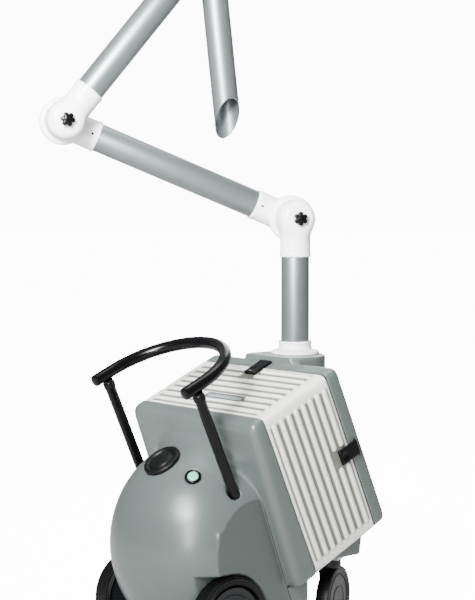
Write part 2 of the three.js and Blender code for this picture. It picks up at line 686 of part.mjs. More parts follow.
// Room for the castors, with a ceiling that follows the roof until it meets the deck
function castorRoom(wall) {
  const ceiling = (y) => roof(y) - 2 * BASE_WALL + wall;
  const front = DECK_FRONT_Y - wall;
  const deckStart = CASE_EDGE_Y + (DECK_Z + wall - ceiling(CASE_EDGE_Y)) / Math.tan(CASE_LEAN);
  const behind = tailTopY + 2 * COVER_DEPTH;
  const half = halfHousing + BASE_WALL;
  return slice([[front, -1], [behind, -1], [behind, DECK_Z + wall], [deckStart, DECK_Z + wall],
    [front, ceiling(front)]], [-half, half]);
}

function baseSolid() {
  const outer = slice(baseOutline(0), [-halfHousing, halfHousing]);
  const room = slice(baseOutline(BASE_WALL), [-halfHousing + BASE_WALL, halfHousing - BASE_WALL]);
  const through = [-INLET_DEPTH - BASE_WALL, BASE_WALL];
  const vent = block([-GRILLE_WIDTH / 2 + GRILLE_RIM, GRILLE_WIDTH / 2 - GRILLE_RIM], through,
    [grilleRise - GRILLE_HEIGHT / 2 + GRILLE_RIM, grilleRise + GRILLE_HEIGHT / 2 - GRILLE_RIM], tailPlace);
  const socket = block([INLET_X - INLET_WIDTH / 2 - FIT, INLET_X + INLET_WIDTH / 2 + FIT], through,
    [inletRise - INLET_HEIGHT / 2 - FIT, inletRise + INLET_HEIGHT / 2 + FIT], tailPlace);
  return cut(outer, room.subtract(castorRoom(BASE_WALL)), castorRoom(0), vent, socket);
}

part('chassis_base', 'housing', baseSolid());

function grilleSolid() {
  const plate = block([-GRILLE_WIDTH / 2, GRILLE_WIDTH / 2], [FIT, FIT + GRILLE_THICK],
    [grilleRise - GRILLE_HEIGHT / 2, grilleRise + GRILLE_HEIGHT / 2], tailPlace);
  const pitch = (GRILLE_HEIGHT - 2 * GRILLE_RIM) / GRILLE_SLOTS;
  const slots = [];
  for (let i = 0; i < GRILLE_SLOTS; i += 1) {
    const z = grilleRise + (i - (GRILLE_SLOTS - 1) / 2) * pitch;
    slots.push(block([-GRILLE_WIDTH / 2 + GRILLE_RIM, GRILLE_WIDTH / 2 - GRILLE_RIM], [-1, GRILLE_THICK + 2],
      [z - GRILLE_SLOT / 2, z + GRILLE_SLOT / 2], tailPlace));
  }
  return cut(plate, ...slots);
}

part('exhaust_grille', 'black', grilleSolid());

function inletSolid() {
  const x = [INLET_X - INLET_WIDTH / 2, INLET_X + INLET_WIDTH / 2];
  const z = [inletRise - INLET_HEIGHT / 2, inletRise + INLET_HEIGHT / 2];
  const body = block(x, [-INLET_DEPTH, FIT + 2], z, tailPlace);
  const rim = block([x[0] - 5, x[1] + 5], [FIT, FIT + 3], [z[0] - 4, z[1] + 4], tailPlace);
  const mouth = block([x[0] + INLET_WALL, x[1] - INLET_WALL], [-INLET_DEPTH + INLET_WALL, 10],
    [z[0] + INLET_WALL, z[1] - INLET_WALL], tailPlace);
  return joined(body, rim).subtract(mouth);
}

part('power_inlet', 'black', inletSolid());

// Front wheels on one through axle

const hubHalf = WHEEL_WIDTH / 2 - HUB_INSET;
const axleEnd = WHEEL_OUTER_X - WHEEL_WIDTH / 2 + hubHalf - HUB_CROWN - FIT;
part('front_axle', 'steel', rod(AXLE_RADIUS, vector(-axleEnd, WHEEL_Y, WHEEL_RADIUS),
  vector(axleEnd, WHEEL_Y, WHEEL_RADIUS)));

function tyreProfile(radius, width, thick) {
  const shoulder = width * 0.18;
  const half = width / 2;
  const bore = radius - thick;
  return [
    [bore, -half + 3], [radius - shoulder, -half], [radius, -half + shoulder], [radius, half - shoulder],
    [radius - shoulder, half], [bore, half - 3], [bore, -half + 3],
  ];
}

function hubProfile(radius, width, bore) {
  const half = width / 2 - HUB_INSET;
  return [
    [bore, -half], [radius, -half], [radius, half], [radius * 0.4, half], [radius * 0.34, half + HUB_CROWN],
    [0, half + HUB_CROWN], [0, half - HUB_CROWN], [bore, half - HUB_CROWN], [bore, -half],
  ];
}

for (const [name, side] of [['left', -1], ['right', 1]]) {
  const middle = vector(side * (WHEEL_OUTER_X - WHEEL_WIDTH / 2), WHEEL_Y, WHEEL_RADIUS);
  const place = facing(middle, vector(side, 0, 0));
  part(`front_tyre_${name}`, 'rubber', turned(tyreProfile(WHEEL_RADIUS, WHEEL_WIDTH, TYRE_THICK), place, 28));
  part(`front_hub_${name}`, 'hub',
    turned(hubProfile(WHEEL_RADIUS - TYRE_THICK - FIT, WHEEL_WIDTH, AXLE_RADIUS + FIT), place, 28));
}

// Rear castors: a plate under the deck, a swivelling fork, and a wheel on its axle

for (const [name, side] of [['left', -1], ['right', 1]]) {
  const stem = new THREE.Group();
  stem.position.set(side * CASTOR_X, CASTOR_Y, 0);
  stem.rotation.z = CASTOR_TURN;
  cart.add(stem);
  const plateTop = DECK_Z - FIT;
  const plateFoot = plateTop - CASTOR_PLATE;
  const plateSpan = [-CASTOR_PLATE_HALF, CASTOR_PLATE_HALF];
  const plate = block(plateSpan, plateSpan, [plateFoot, plateTop]);
  part(`castor_plate_${name}`, 'steel',
    plate.subtract(upright(CASTOR_STEM_RADIUS + FIT, plateFoot - 1, plateTop - 2)), stem);
  const crownTop = plateFoot - FIT;
  const crownFoot = CASTOR_RADIUS * 2 + 4;
  const legIn = -side * (CASTOR_WIDTH / 2 + RUN);
  const legOut = legIn - side * FORK_WALL;
  const span = (a, b) => [Math.min(a, b), Math.max(a, b)];
  const hubZ = CASTOR_RADIUS;
  const hubY = CASTOR_TRAIL;
  const bridge = crownFoot + FORK_WALL;
  const leg = (x) => slice([[-FORK_FRONT, bridge - 1], [FORK_BACK, bridge - 1], [hubY + FORK_TIP, hubZ],
    [hubY, hubZ - FORK_TIP], [hubY - FORK_TIP, hubZ]], x);
  const fork = joined(
    upright(CASTOR_STEM_RADIUS, crownFoot, plateTop - 2 - FIT),
    upright(CASTOR_CROWN_RADIUS, crownFoot, crownTop),
    block(span(legOut, -legIn), [-FORK_FRONT, FORK_BACK], [crownFoot, bridge]),
    leg(span(legIn, legOut)));
  const boreEnd = side * (CASTOR_WIDTH / 2 - HUB_CROWN - FORK_CAP);
  const across = (radius, end, sides) => rod(radius, vector(legOut, hubY, hubZ), vector(end, hubY, hubZ), null, sides);
  const pin = across(CASTOR_AXLE_RADIUS, boreEnd - side * FIT, 16);
  part(`castor_fork_${name}`, 'hub', fork.add(pin), stem);
  const place = facing(vector(0, hubY, hubZ), vector(1, 0, 0));
  const bore = across(CASTOR_AXLE_RADIUS + FIT, boreEnd, 24);
  const tyre = turned(tyreProfile(CASTOR_RADIUS, CASTOR_WIDTH, CASTOR_TYRE), place, 24);
  const disc = rod(CASTOR_RADIUS - CASTOR_TYRE + 1, vector(-CASTOR_WIDTH / 2 + HUB_CROWN, hubY, hubZ),
    vector(CASTOR_WIDTH / 2 - HUB_CROWN, hubY, hubZ), null, 24);
  part(`castor_wheel_${name}`, 'rubber', tyre.add(disc).subtract(bore), stem);
}

// Fan: scroll on the front shell's face, motor in front of it, impeller on the motor's shaft

const scrollBack = -FIT;
const scrollFront = scrollBack - SCROLL_DEPTH;
const fanAxis = (y) => vector(0, y, FAN_HEIGHT);

function scrollSolid() {
  const outer = rod(SCROLL_RADIUS, fanAxis(scrollFront), fanAxis(scrollBack), null, 24);
  const inner = rod(SCROLL_RADIUS - SCROLL_WALL, fanAxis(scrollFront + SCROLL_WALL),
    fanAxis(scrollBack - SCROLL_WALL), null, 24);
  const inlet = rod(FAN_INLET_RADIUS, fanAxis(scrollBack - 2 * SCROLL_WALL), fanAxis(scrollBack + 1), null, 20);
  const shaft = rod(MOTOR_SHAFT_RADIUS + 2, fanAxis(scrollFront - 1), fanAxis(scrollFront + 2 * SCROLL_WALL));
  const outlet = block([-50, 50], [scrollFront + 12, scrollBack - 12],
    [FAN_HEIGHT - SCROLL_RADIUS - 10, FAN_HEIGHT - SCROLL_RADIUS + 20]);
  return cut(outer, inner, inlet, shaft, outlet);
}

part('fan_scroll', 'black', scrollSolid(), fanFrame);

const motorBack = scrollFront - FIT;
const impellerFront = scrollFront + SCROLL_WALL + 6;
part('fan_motor', 'steel', joined(
  rod(MOTOR_RADIUS, fanAxis(motorBack - MOTOR_LENGTH), fanAxis(motorBack)),
  rod(MOTOR_SHAFT_RADIUS, fanAxis(motorBack - 1), fanAxis(impellerFront + 24), null, 16)), fanFrame);

function impellerSolid() {
  const disc = rod(IMPELLER_RADIUS, fanAxis(impellerFront), fanAxis(impellerFront + 3), null, 20);
  const hub = rod(20, fanAxis(impellerFront), fanAxis(impellerFront + 28));
  const bore = rod(MOTOR_SHAFT_RADIUS + FIT, fanAxis(impellerFront - 1), fanAxis(impellerFront + 29), null, 16);
  const blades = [];
  for (let i = 0; i < BLADE_COUNT; i += 1) {
    const spin = new THREE.Matrix4().makeTranslation(0, 0, FAN_HEIGHT)
      .multiply(new THREE.Matrix4().makeRotationY((2 * Math.PI * i) / BLADE_COUNT));
    blades.push(block([-1.5, 1.5], [impellerFront + 2, impellerFront + IMPELLER_DEPTH],
      [FAN_INLET_RADIUS, IMPELLER_RADIUS - 2], spin));
  }
  return joined(disc, hub, ...blades).subtract(bore);
}

part('fan_impeller', 'black', impellerSolid(), fanFrame);

// Controls: dished push button in a bezel with its switch behind, and a lamp

const bezelFloor = -BEZEL_DEPTH + FIT;
part('button_bezel', 'black', turned([
  [BUTTON_RADIUS + FIT, bezelFloor], [BEZEL_RADIUS, bezelFloor], [BEZEL_RADIUS, BEZEL_PROUD - 3],
  [BEZEL_RADIUS - 3, BEZEL_PROUD], [BEZEL_RADIUS - 8, BEZEL_PROUD], [BUTTON_RADIUS + FIT, BEZEL_PROUD - 4],
  [BUTTON_RADIUS + FIT, bezelFloor],
], buttonPlace, 24));

const STEM_RADIUS = 8;
const buttonFoot = bezelFloor + BUTTON_TRAVEL + 0.5;
part('power_button', 'black', turned([
  [0, bezelFloor - 4], [STEM_RADIUS, bezelFloor - 4], [STEM_RADIUS, buttonFoot], [BUTTON_RADIUS, buttonFoot],
  [BUTTON_RADIUS, buttonFoot + 2], [BUTTON_RADIUS * 0.8, BEZEL_PROUD - 2], [BUTTON_RADIUS * 0.5, BEZEL_PROUD + 2],
  [0, BEZEL_PROUD + 3.5],
], buttonPlace, 24));

const switchTop = bezelFloor - 2 * FIT;
part('power_switch', 'black', upright(SWITCH_RADIUS, switchTop - SWITCH_LENGTH + 8, switchTop, buttonPlace)
  .subtract(upright(STEM_RADIUS + FIT, switchTop - 12, switchTop + 1, buttonPlace)));

const lampFloor = -LAMP_DEPTH + FIT;
part('lamp_bezel', 'black', turned([
  [LENS_RADIUS + FIT, lampFloor], [LAMP_RADIUS, lampFloor], [LAMP_RADIUS, LAMP_PROUD - 1.5],
  [LAMP_RADIUS - 2, LAMP_PROUD], [LENS_RADIUS + FIT, LAMP_PROUD], [LENS_RADIUS + FIT, lampFloor],
], lampPlace, 24));
part('lamp_lens', 'lens', turned([[0, lampFloor], [LENS_RADIUS, lampFloor], [LENS_RADIUS, LAMP_PROUD - 1],
  [LENS_RADIUS * 0.7, LAMP_PROUD + 1.5], [0, LAMP_PROUD + 2.5]], lampPlace, 24));

// Push handle: two posts with collars, and a bow-shaped grip

for (const [name, side] of [['left', -1], ['right', 1]]) {
  const x = side * GRIP_HALF_WIDTH;
  const collarTop = postTop - 6;
  const post = rod(POST_RADIUS, vector(x, postDepth, postFoot), vector(x, postDepth, postTop));
  const collar = rod(POST_COLLAR_RADIUS, vector(x, postDepth, collarTop - POST_COLLAR_HEIGHT),
    vector(x, postDepth, collarTop));
  part(`handle_post_${name}`, 'black', post.add(collar), leaning);
}

function gripSolid() {
  const bend = GRIP_END_DEPTH + GRIP_LEG;
  const arc = [];
  const steps = 16;
  for (let i = 0; i <= steps; i += 1) {
    const angle = Math.PI * (i / steps);
    arc.push(vector(-GRIP_HALF_WIDTH * Math.cos(angle), bend + GRIP_HALF_WIDTH * Math.sin(angle), gripHeight));
  }
  const points = [vector(-GRIP_HALF_WIDTH, GRIP_END_DEPTH, gripHeight), ...arc,
    vector(GRIP_HALF_WIDTH, GRIP_END_DEPTH, gripHeight)];
  const sides = 12;
  const rings = points.map((point, i) => {
    const before = points[Math.max(i - 1, 0)];
    const after = points[Math.min(i + 1, points.length - 1)];
    const across = after.clone().sub(before).normalize().cross(vector(0, 0, 1)).normalize();
    return Array.from({ length: sides }, (_, k) => {
      const turn = (2 * Math.PI * k) / sides;
      return point.clone().addScaledVector(across, GRIP_RADIUS * Math.cos(turn))
        .add(vector(0, 0, GRIP_RADIUS * Math.sin(turn)));
    });
  });
  const corners = rings.flat();
  const triangles = [];
  for (let i = 0; i + 1 < rings.length; i += 1) {
    for (let k = 0; k < sides; k += 1) {
      const [a, b] = [i * sides + k, i * sides + ((k + 1) % sides)];
      triangles.push(a, a + sides, b, b, a + sides, b + sides);
    }
  }
  const last = (rings.length - 1) * sides;
  for (let k = 1; k + 1 < sides; k += 1) {
    triangles.push(0, k, k + 1, last, last + k + 1, last + k);
  }
  const geometry = new THREE.BufferGeometry();
  geometry.setAttribute('position', new THREE.Float32BufferAttribute(corners.flatMap((c) => c.toArray()), 3));
  geometry.setIndex(triangles);
  return solidFrom(geometry);
}

part('handle_grip', 'rubber', gripSolid(), leaning);

// Extraction arm: the arm frame's x is the knob side of every joint, and the arm reaches along -y

const arm = new THREE.Group();
arm.position.set(0, COLUMN_Y, 0);
arm.rotation.z = ARM_HEADING;
cart.add(arm);

const flangeFoot = seatTop + FIT;
part('arm_collar', 'white', turned([
  [TUBE_RADIUS + SWIVEL_FIT, flangeFoot], [FLANGE_RADIUS, flangeFoot], [FLANGE_RADIUS, flangeFoot + FLANGE_THICK - 2],
  [FLANGE_RADIUS - 3, flangeFoot + FLANGE_THICK], [SLEEVE_RADIUS, flangeFoot + FLANGE_THICK + 3],
  [SLEEVE_RADIUS, flangeFoot + SLEEVE_HEIGHT], [TUBE_RADIUS + SWIVEL_FIT, flangeFoot + SLEEVE_HEIGHT],
  [TUBE_RADIUS + SWIVEL_FIT, flangeFoot],
], null, 24), arm);

const columnFootZ = seatTop - COLUMN_INSERT;
part('column_tube', 'tube', pipe(TUBE_RADIUS, TUBE_RADIUS - TUBE_WALL, vector(0, 0, columnFootZ),
  vector(0, 0, SHOULDER_Z - SOCKET_SEAT)), arm);
const tubeBore = TUBE_RADIUS + FIT;
const hoodBore = HOOD_RADIUS + SWIVEL_FIT;
const socketRadius = tubeBore + SOCKET_WALL;
const domeTop = TUBE_OFFSET + socketRadius + DOME_CROWN;
const face = DISC_THICK / 2 + FIT;
const alongX = new THREE.Matrix4().makeBasis(vector(0, 1, 0), vector(0, 0, 1), vector(1, 0, 0));

// One half of a joint: its disc faces x = 0, its dome stands towards +x, its socket points along +y
function elbowHalf(bore, thumb) {
  const dome = turned([
    [0, face], [JOINT_RADIUS, face], [JOINT_RADIUS, JOINT_RIM - 2], [JOINT_RADIUS - 3, JOINT_RIM],
    [DOME_RADIUS + 2, JOINT_RIM + 3], [DOME_RADIUS, domeTop - 22],
    [DOME_RADIUS - 6, domeTop - 9], [DOME_RADIUS - 20, domeTop], [0, domeTop],
  ], alongX, 18);
  const at = (y) => vector(TUBE_OFFSET, y, 0);
  const socket = rod(socketRadius, at(0), at(SOCKET_REACH), null, 18);
  const ducts = joined(
    rod(DUCT_RADIUS, at(0), at(SOCKET_SEAT), null, 14),
    rod(DUCT_RADIUS, vector(0, 0, 0), vector(TUBE_OFFSET, 0, 0), null, 14));
  const mouth = rod(bore, at(SOCKET_SEAT - FIT), at(SOCKET_REACH + 1), null, 24);
  const bolt = rod(BOLT_RADIUS + FIT, vector(TUBE_OFFSET, 0, 0), vector(domeTop + 1, 0, 0), null, 12);
  const half = cut(dome.add(socket), ducts, mouth, bolt);
  if (!thumb) return half;
  const hole = rod(THUMB_RADIUS + FIT, vector(TUBE_OFFSET, THUMB_REACH, bore / 2),
    vector(TUBE_OFFSET, THUMB_REACH, socketRadius + 1), null, 12);
  return half.subtract(hole);
}

// Frame at a joint: its y points along the tube's direction in the arm's (y, z) plane
function jointFrame(y, z, direction, knobSide) {
  const group = new THREE.Group();
  group.position.set(-TUBE_OFFSET, y, z);
  const along = vector(0, Math.cos(direction), Math.sin(direction));
  const out = vector(knobSide ? 1 : -1, 0, 0);
  group.setRotationFromMatrix(new THREE.Matrix4().makeBasis(out, along, out.clone().cross(along)));
  arm.add(group);
  return group;
}

const starShape = () => {
  const shape = new THREE.Shape();
  const points = [];
  const count = 24;
  for (let i = 0; i < count; i += 1) {
    const angle = (2 * Math.PI * i) / count;
    const radius = KNOB_RADIUS - 3.2 + 3.2 * Math.cos(6 * angle);
    points.push(new THREE.Vector2(radius * Math.cos(angle), radius * Math.sin(angle)));
  }
  shape.setFromPoints(points);
  return shape;
};

function knobSolid(foot) {
  const neck = 5;
  const geometry = new THREE.ExtrudeGeometry(starShape(), { depth: KNOB_HEIGHT - neck, bevelEnabled: false });
  geometry.translate(0, 0, foot + neck);
  const star = solidFrom(geometry, alongX);
  const stem = rod(KNOB_RADIUS * 0.55, vector(foot, 0, 0), vector(foot + neck + 1, 0, 0), null, 14);
  const bore = rod(BOLT_RADIUS + FIT, vector(foot - 1, 0, 0), vector(foot + KNOB_HEIGHT - KNOB_TIP, 0, 0), null, 12);
  return star.add(stem).subtract(bore);
}

// Bolt, disc and knob of a joint, in a frame whose +x is the knob side
function jointHardware(name, frame, winged) {
  const disc = pipe(JOINT_RADIUS - 3, DISC_BORE, vector(-DISC_THICK / 2, 0, 0), vector(DISC_THICK / 2, 0, 0), null, 20);
  part(`${name}_disc`, 'black', disc, frame);
  const knobFoot = domeTop + FIT + (winged ? WING_THICK - 1 : 0);
  const tip = knobFoot + KNOB_HEIGHT - KNOB_TIP - FIT;
  const head = -domeTop - FIT;
  part(`${name}_bolt`, 'steel', joined(
    rod(BOLT_RADIUS, vector(head - 1, 0, 0), vector(tip, 0, 0), null, 12),
    rod(BOLT_HEAD_RADIUS, vector(head - BOLT_HEAD_THICK, 0, 0), vector(head, 0, 0), null, 6)), frame);
  const knob = knobSolid(knobFoot);
  part(`${name}_knob`, 'black', winged ? knob.add(wingSolid()) : knob, frame);
}

// Long wing under the knob of the joint that is set most often
function wingSolid() {
  const lie = new THREE.Matrix4().makeBasis(vector(0, 1, 0), vector(1, 0, 0), vector(0, 0, -1));
  lie.premultiply(new THREE.Matrix4().makeTranslation(domeTop + FIT, 0, 0));
  const wing = roundedBox(WING_LENGTH, WING_WIDTH, [0, WING_THICK], WING_WIDTH / 2 - 0.5, [0, 0], lie);
  const hole = rod(BOLT_RADIUS + FIT, vector(domeTop, 0, 0), vector(domeTop + 2 * WING_THICK, 0, 0), null, 16);
  return wing.subtract(hole);
}

function thumbScrew(name, frame, bore) {
  const at = (z) => vector(TUBE_OFFSET, THUMB_REACH, z);
  const seat = socketRadius + FIT;
  const screw = joined(
    rod(THUMB_RADIUS, at(bore), at(seat + 1), null, 12),
    rod(THUMB_HEAD, at(seat), at(seat + THUMB_HEAD_THICK), null, 14));
  part(name, 'black', screw, frame);
}

// Directions of the links, as angles from +y towards +z
const lowerAngle = Math.PI - LOWER_LIFT;
const upperAngle = UPPER_LIFT;
const hoodAngle = -HOOD_DROP;
const link = ([y, z], angle, length) => [y + length * Math.cos(angle), z + length * Math.sin(angle)];
const shoulder = [0, SHOULDER_Z];
const elbow = link(shoulder, lowerAngle, LOWER_ARM);
const wrist = link(elbow, upperAngle, UPPER_ARM);

const shoulderFront = jointFrame(...shoulder, -Math.PI / 2, true);
const shoulderRear = jointFrame(...shoulder, lowerAngle, false);
part('shoulder_front_half', 'white', elbowHalf(tubeBore, false), shoulderFront);
part('shoulder_rear_half', 'white', elbowHalf(tubeBore, false), shoulderRear);
jointHardware('shoulder', shoulderFront, false);

const elbowRear = jointFrame(...elbow, lowerAngle + Math.PI, false);
const elbowFront = jointFrame(...elbow, upperAngle, true);
part('elbow_rear_half', 'white', elbowHalf(tubeBore, false), elbowRear);
part('elbow_front_half', 'white', elbowHalf(tubeBore, false), elbowFront);
jointHardware('elbow', elbowFront, false);

const wristFront = jointFrame(...wrist, upperAngle + Math.PI, true);
const wristRear = jointFrame(...wrist, hoodAngle, false);
part('wrist_front_half', 'white', elbowHalf(tubeBore, true), wristFront);
part('wrist_rear_half', 'white', elbowHalf(hoodBore, true), wristRear);
jointHardware('wrist', wristFront, true);
thumbScrew('upper_thumb_screw', wristFront, tubeBore);
thumbScrew('hood_thumb_screw', wristRear, hoodBore);

const tubeBetween = (length) => pipe(TUBE_RADIUS, TUBE_RADIUS - TUBE_WALL,
  vector(TUBE_OFFSET, SOCKET_SEAT, 0), vector(TUBE_OFFSET, length - SOCKET_SEAT, 0));
part('lower_arm_tube', 'tube', tubeBetween(LOWER_ARM), shoulderRear);
part('upper_arm_tube', 'tube', tubeBetween(UPPER_ARM), elbowFront);

// Hood: a tube cut on a slant, its mouth turned towards the column and the knob side
function hoodSolid() {
  const slack = HOOD_RADIUS * 2 * Math.tan(HOOD_CUT);
  const tube = pipe(HOOD_RADIUS, HOOD_RADIUS - TUBE_WALL, vector(TUBE_OFFSET, SOCKET_SEAT, 0),
    vector(TUBE_OFFSET, HOOD_LENGTH + slack, 0));
  const sideways = vector(-Math.sin(HOOD_FACE_TURN), 0, -Math.cos(HOOD_FACE_TURN));
  const out = sideways.multiplyScalar(Math.sin(HOOD_CUT)).add(vector(0, Math.cos(HOOD_CUT), 0));
  const beyond = block([-slack * 2, slack * 2], [-slack * 2, slack * 2], [0, slack * 4],
    facing(vector(TUBE_OFFSET, HOOD_LENGTH, 0), out));
  return tube.subtract(beyond);
}

part('hood_tube', 'tube', hoodSolid(), wristRear);

export default cart;
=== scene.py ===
# %% [markdown]
# # A mobile fume extractor, piece by piece
# The CAD frame gives every piece its place and its joints. This lesson loads that frame, builds finer
# surfaces over it, and gives each surface a material made of nodes.
# Units are metres. +X is the cart's right, +Y its rear, +Z up, and the floor is z = 0.

import json
import math

import bmesh
import bpy
import numpy as np
from mathutils import Matrix, Vector


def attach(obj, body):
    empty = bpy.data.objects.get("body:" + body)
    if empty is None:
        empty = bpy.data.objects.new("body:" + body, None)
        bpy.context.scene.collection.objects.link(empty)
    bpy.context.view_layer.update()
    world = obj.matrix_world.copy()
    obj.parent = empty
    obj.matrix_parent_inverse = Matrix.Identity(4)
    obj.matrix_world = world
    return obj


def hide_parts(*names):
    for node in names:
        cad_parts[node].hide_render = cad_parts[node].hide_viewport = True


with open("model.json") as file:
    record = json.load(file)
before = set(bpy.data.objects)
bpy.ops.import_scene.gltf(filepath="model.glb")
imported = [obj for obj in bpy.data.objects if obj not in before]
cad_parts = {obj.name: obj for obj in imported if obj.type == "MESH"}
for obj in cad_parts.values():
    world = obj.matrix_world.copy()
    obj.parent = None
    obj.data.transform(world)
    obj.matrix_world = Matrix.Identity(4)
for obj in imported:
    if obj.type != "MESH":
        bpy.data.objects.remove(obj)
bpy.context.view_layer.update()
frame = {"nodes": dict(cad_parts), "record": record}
nodes = frame["nodes"]

# %% [markdown]
# ## Sizes that several pieces share
# The casing leans back about the lower edge of its front. The fan housing is an egg with flat sides, and the
# shell between them has a front face that tapers. The base ends in a leaning tail.
# The casing's own axes are its width, its depth from the front and its rise from the foot.

# %% Shared sizes
MM = 0.001
CASING_FOOT = (0, 0.185, 0.195)
CASING_TILT = math.radians(24)
CASING_HALF, CASING_HEIGHT = 245 * MM, 454 * MM
CASING_MIDDLE = CASING_HEIGHT / 2
CASING_CENTRE = 116 * MM
RIB_SINK = 0.2 * MM
SHELL_DEPTH = 72 * MM
SHELL_TAPER = math.atan2(30, 454)
SHELL_FOOT = (0.1192, 0.1657)
EGG_CENTRE, EGG_RADII = (0, 0.015, 0.271), (0.236, 0.245, 0.266)
HOUSING_HALF = 0.205
BELLY = 0.048
TAIL_FOOT, TAIL_LEAN = 0.358, math.atan2(34, 232.4)
WHEEL_SIDE, WHEEL_DEPTH, WHEEL_RADIUS, WHEEL_WIDTH = 0.1945, -0.065, 0.111, 0.045
POST_SIDE, POST_DEPTH, GRIP_RISE = 0.184, -0.113, 0.598
print("casing:", 2 * CASING_HALF, "m wide and", CASING_HEIGHT, "m high")

# %% [markdown]
# ## Shader groups
# A node group is a tool that several materials share. Each group takes plain numbers and gives back a
# mask or a normal, and the shader itself stays in the material.
# Grain is a fine noise turned into bumps, and handling is a slow noise that says where hands and dust
# have changed the finish.

# %% Grain and handling
def shader_group(name, inputs, outputs):
    tree = bpy.data.node_groups.new(name, "ShaderNodeTree")
    for label, kind, value in inputs:
        socket = tree.interface.new_socket(label, in_out="INPUT", socket_type=kind)
        socket.default_value = value
    for label, kind in outputs:
        tree.interface.new_socket(label, in_out="OUTPUT", socket_type=kind)
    return tree, tree.nodes.new("NodeGroupInput"), tree.nodes.new("NodeGroupOutput")


def calc(tree, operation, first, second=0.0):
    """One sum of two sockets or numbers."""
    node = tree.nodes.new("ShaderNodeMath")
    node.operation = operation
    for slot_number, value in enumerate((first, second)):
        if isinstance(value, float):
            node.inputs[slot_number].default_value = value
        else:
            tree.links.new(value, node.inputs[slot_number])
    return node.outputs["Value"]


def fade(tree, value, start, end, low=0.0, high=1.0):
    """A mask that goes from low at the start value to high at the end value."""
    node = tree.nodes.new("ShaderNodeMapRange")
    node.inputs["From Min"].default_value = start
    node.inputs["From Max"].default_value = end
    node.inputs["To Min"].default_value = low
    node.inputs["To Max"].default_value = high
    tree.links.new(value, node.inputs["Value"])
    return node.outputs["Result"]


def grain_group():
    tree, given, result = shader_group(
        "Moulded grain",
        [("Scale", "NodeSocketFloat", 900.0), ("Height", "NodeSocketFloat", 0.05)],
        [("Normal", "NodeSocketVector"), ("Mask", "NodeSocketFloat")])
    place = tree.nodes.new("ShaderNodeTexCoord")
    noise = tree.nodes.new("ShaderNodeTexNoise")
    noise.inputs["Detail"].default_value = 3.0
    bump = tree.nodes.new("ShaderNodeBump")
    bump.inputs["Distance"].default_value = 0.0006
    tree.links.new(place.outputs["Object"], noise.inputs["Vector"])
    tree.links.new(given.outputs["Scale"], noise.inputs["Scale"])
    tree.links.new(noise.outputs["Fac"], bump.inputs["Height"])
    tree.links.new(given.outputs["Height"], bump.inputs["Strength"])
    tree.links.new(bump.outputs["Normal"], result.inputs["Normal"])
    tree.links.new(noise.outputs["Fac"], result.inputs["Mask"])
    return tree


def handling_group():
    tree, given, result = shader_group(
        "Handling and dust",
        [("Scale", "NodeSocketFloat", 7.0), ("Amount", "NodeSocketFloat", 0.5)],
        [("Mask", "NodeSocketFloat")])
    place = tree.nodes.new("ShaderNodeTexCoord")
    noise = tree.nodes.new("ShaderNodeTexNoise")
    noise.inputs["Detail"].default_value = 6.0
    noise.inputs["Distortion"].default_value = 0.4
    up = tree.nodes.new("ShaderNodeNewGeometry")
    split = tree.nodes.new("ShaderNodeSeparateXYZ")
    tree.links.new(place.outputs["Object"], noise.inputs["Vector"])
    tree.links.new(given.outputs["Scale"], noise.inputs["Scale"])
    tree.links.new(up.outputs["Normal"], split.inputs["Vector"])
    patches = fade(tree, noise.outputs["Fac"], 0.42, 0.72)
    upward = fade(tree, split.outputs["Z"], 0.2, 1.0, low=0.35)
    mask = calc(tree, "MULTIPLY", calc(tree, "MULTIPLY", patches, upward), given.outputs["Amount"])
    tree.links.new(mask, result.inputs["Mask"])
    return tree


GRAIN = grain_group()
HANDLING = handling_group()
print("shader groups:", GRAIN.name, "and", HANDLING.name)

# %% [markdown]
# ## Masks from places
# A mask can also come from the place of a point on the object. One group finds the flat sides of the
# housing, whose darker tone is painted shade, and the joint line beside them. Another finds the grooves
# between the casing's ribs, whose darker tone is painted shade too.

# %% Masks from places
def side_shade_and_seam_group():
    tree, given, result = shader_group(
        "Painted side shade and seam", [("Half width", "NodeSocketFloat", HOUSING_HALF)],
        [("Side", "NodeSocketFloat"), ("Seam", "NodeSocketFloat")])
    place = tree.nodes.new("ShaderNodeTexCoord")
    split = tree.nodes.new("ShaderNodeSeparateXYZ")
    tree.links.new(place.outputs["Object"], split.inputs["Vector"])
    tilt = CASING_TILT - SHELL_TAPER
    reach = SHELL_FOOT[0] * math.cos(tilt) + SHELL_FOOT[1] * math.sin(tilt)
    depth = calc(tree, "ADD", calc(tree, "MULTIPLY", split.outputs["Y"], math.cos(tilt)),
                 calc(tree, "MULTIPLY", split.outputs["Z"], math.sin(tilt)))
    behind = calc(tree, "SUBTRACT", depth, reach)
    out = calc(tree, "SUBTRACT", calc(tree, "ABSOLUTE", split.outputs["X"]), given.outputs["Half width"])
    # Painted shade: the flat sides get a darker colour, as if they caught less light than the egg.
    side = calc(tree, "MULTIPLY", fade(tree, out, -0.0014, -0.0004), fade(tree, behind, -0.003, -0.006))
    far = calc(tree, "MAXIMUM", calc(tree, "ABSOLUTE", out), calc(tree, "ABSOLUTE", behind))
    across = calc(tree, "ABSOLUTE", calc(tree, "ADD", out, behind))
    line = calc(tree, "MULTIPLY", fade(tree, across, 0.0022, 0.0010), fade(tree, far, 0.008, 0.006))
    seam = calc(tree, "MULTIPLY", line, fade(tree, split.outputs["Z"], 0.46, 0.36))
    tree.links.new(side, result.inputs["Side"])
    tree.links.new(seam, result.inputs["Seam"])
    return tree


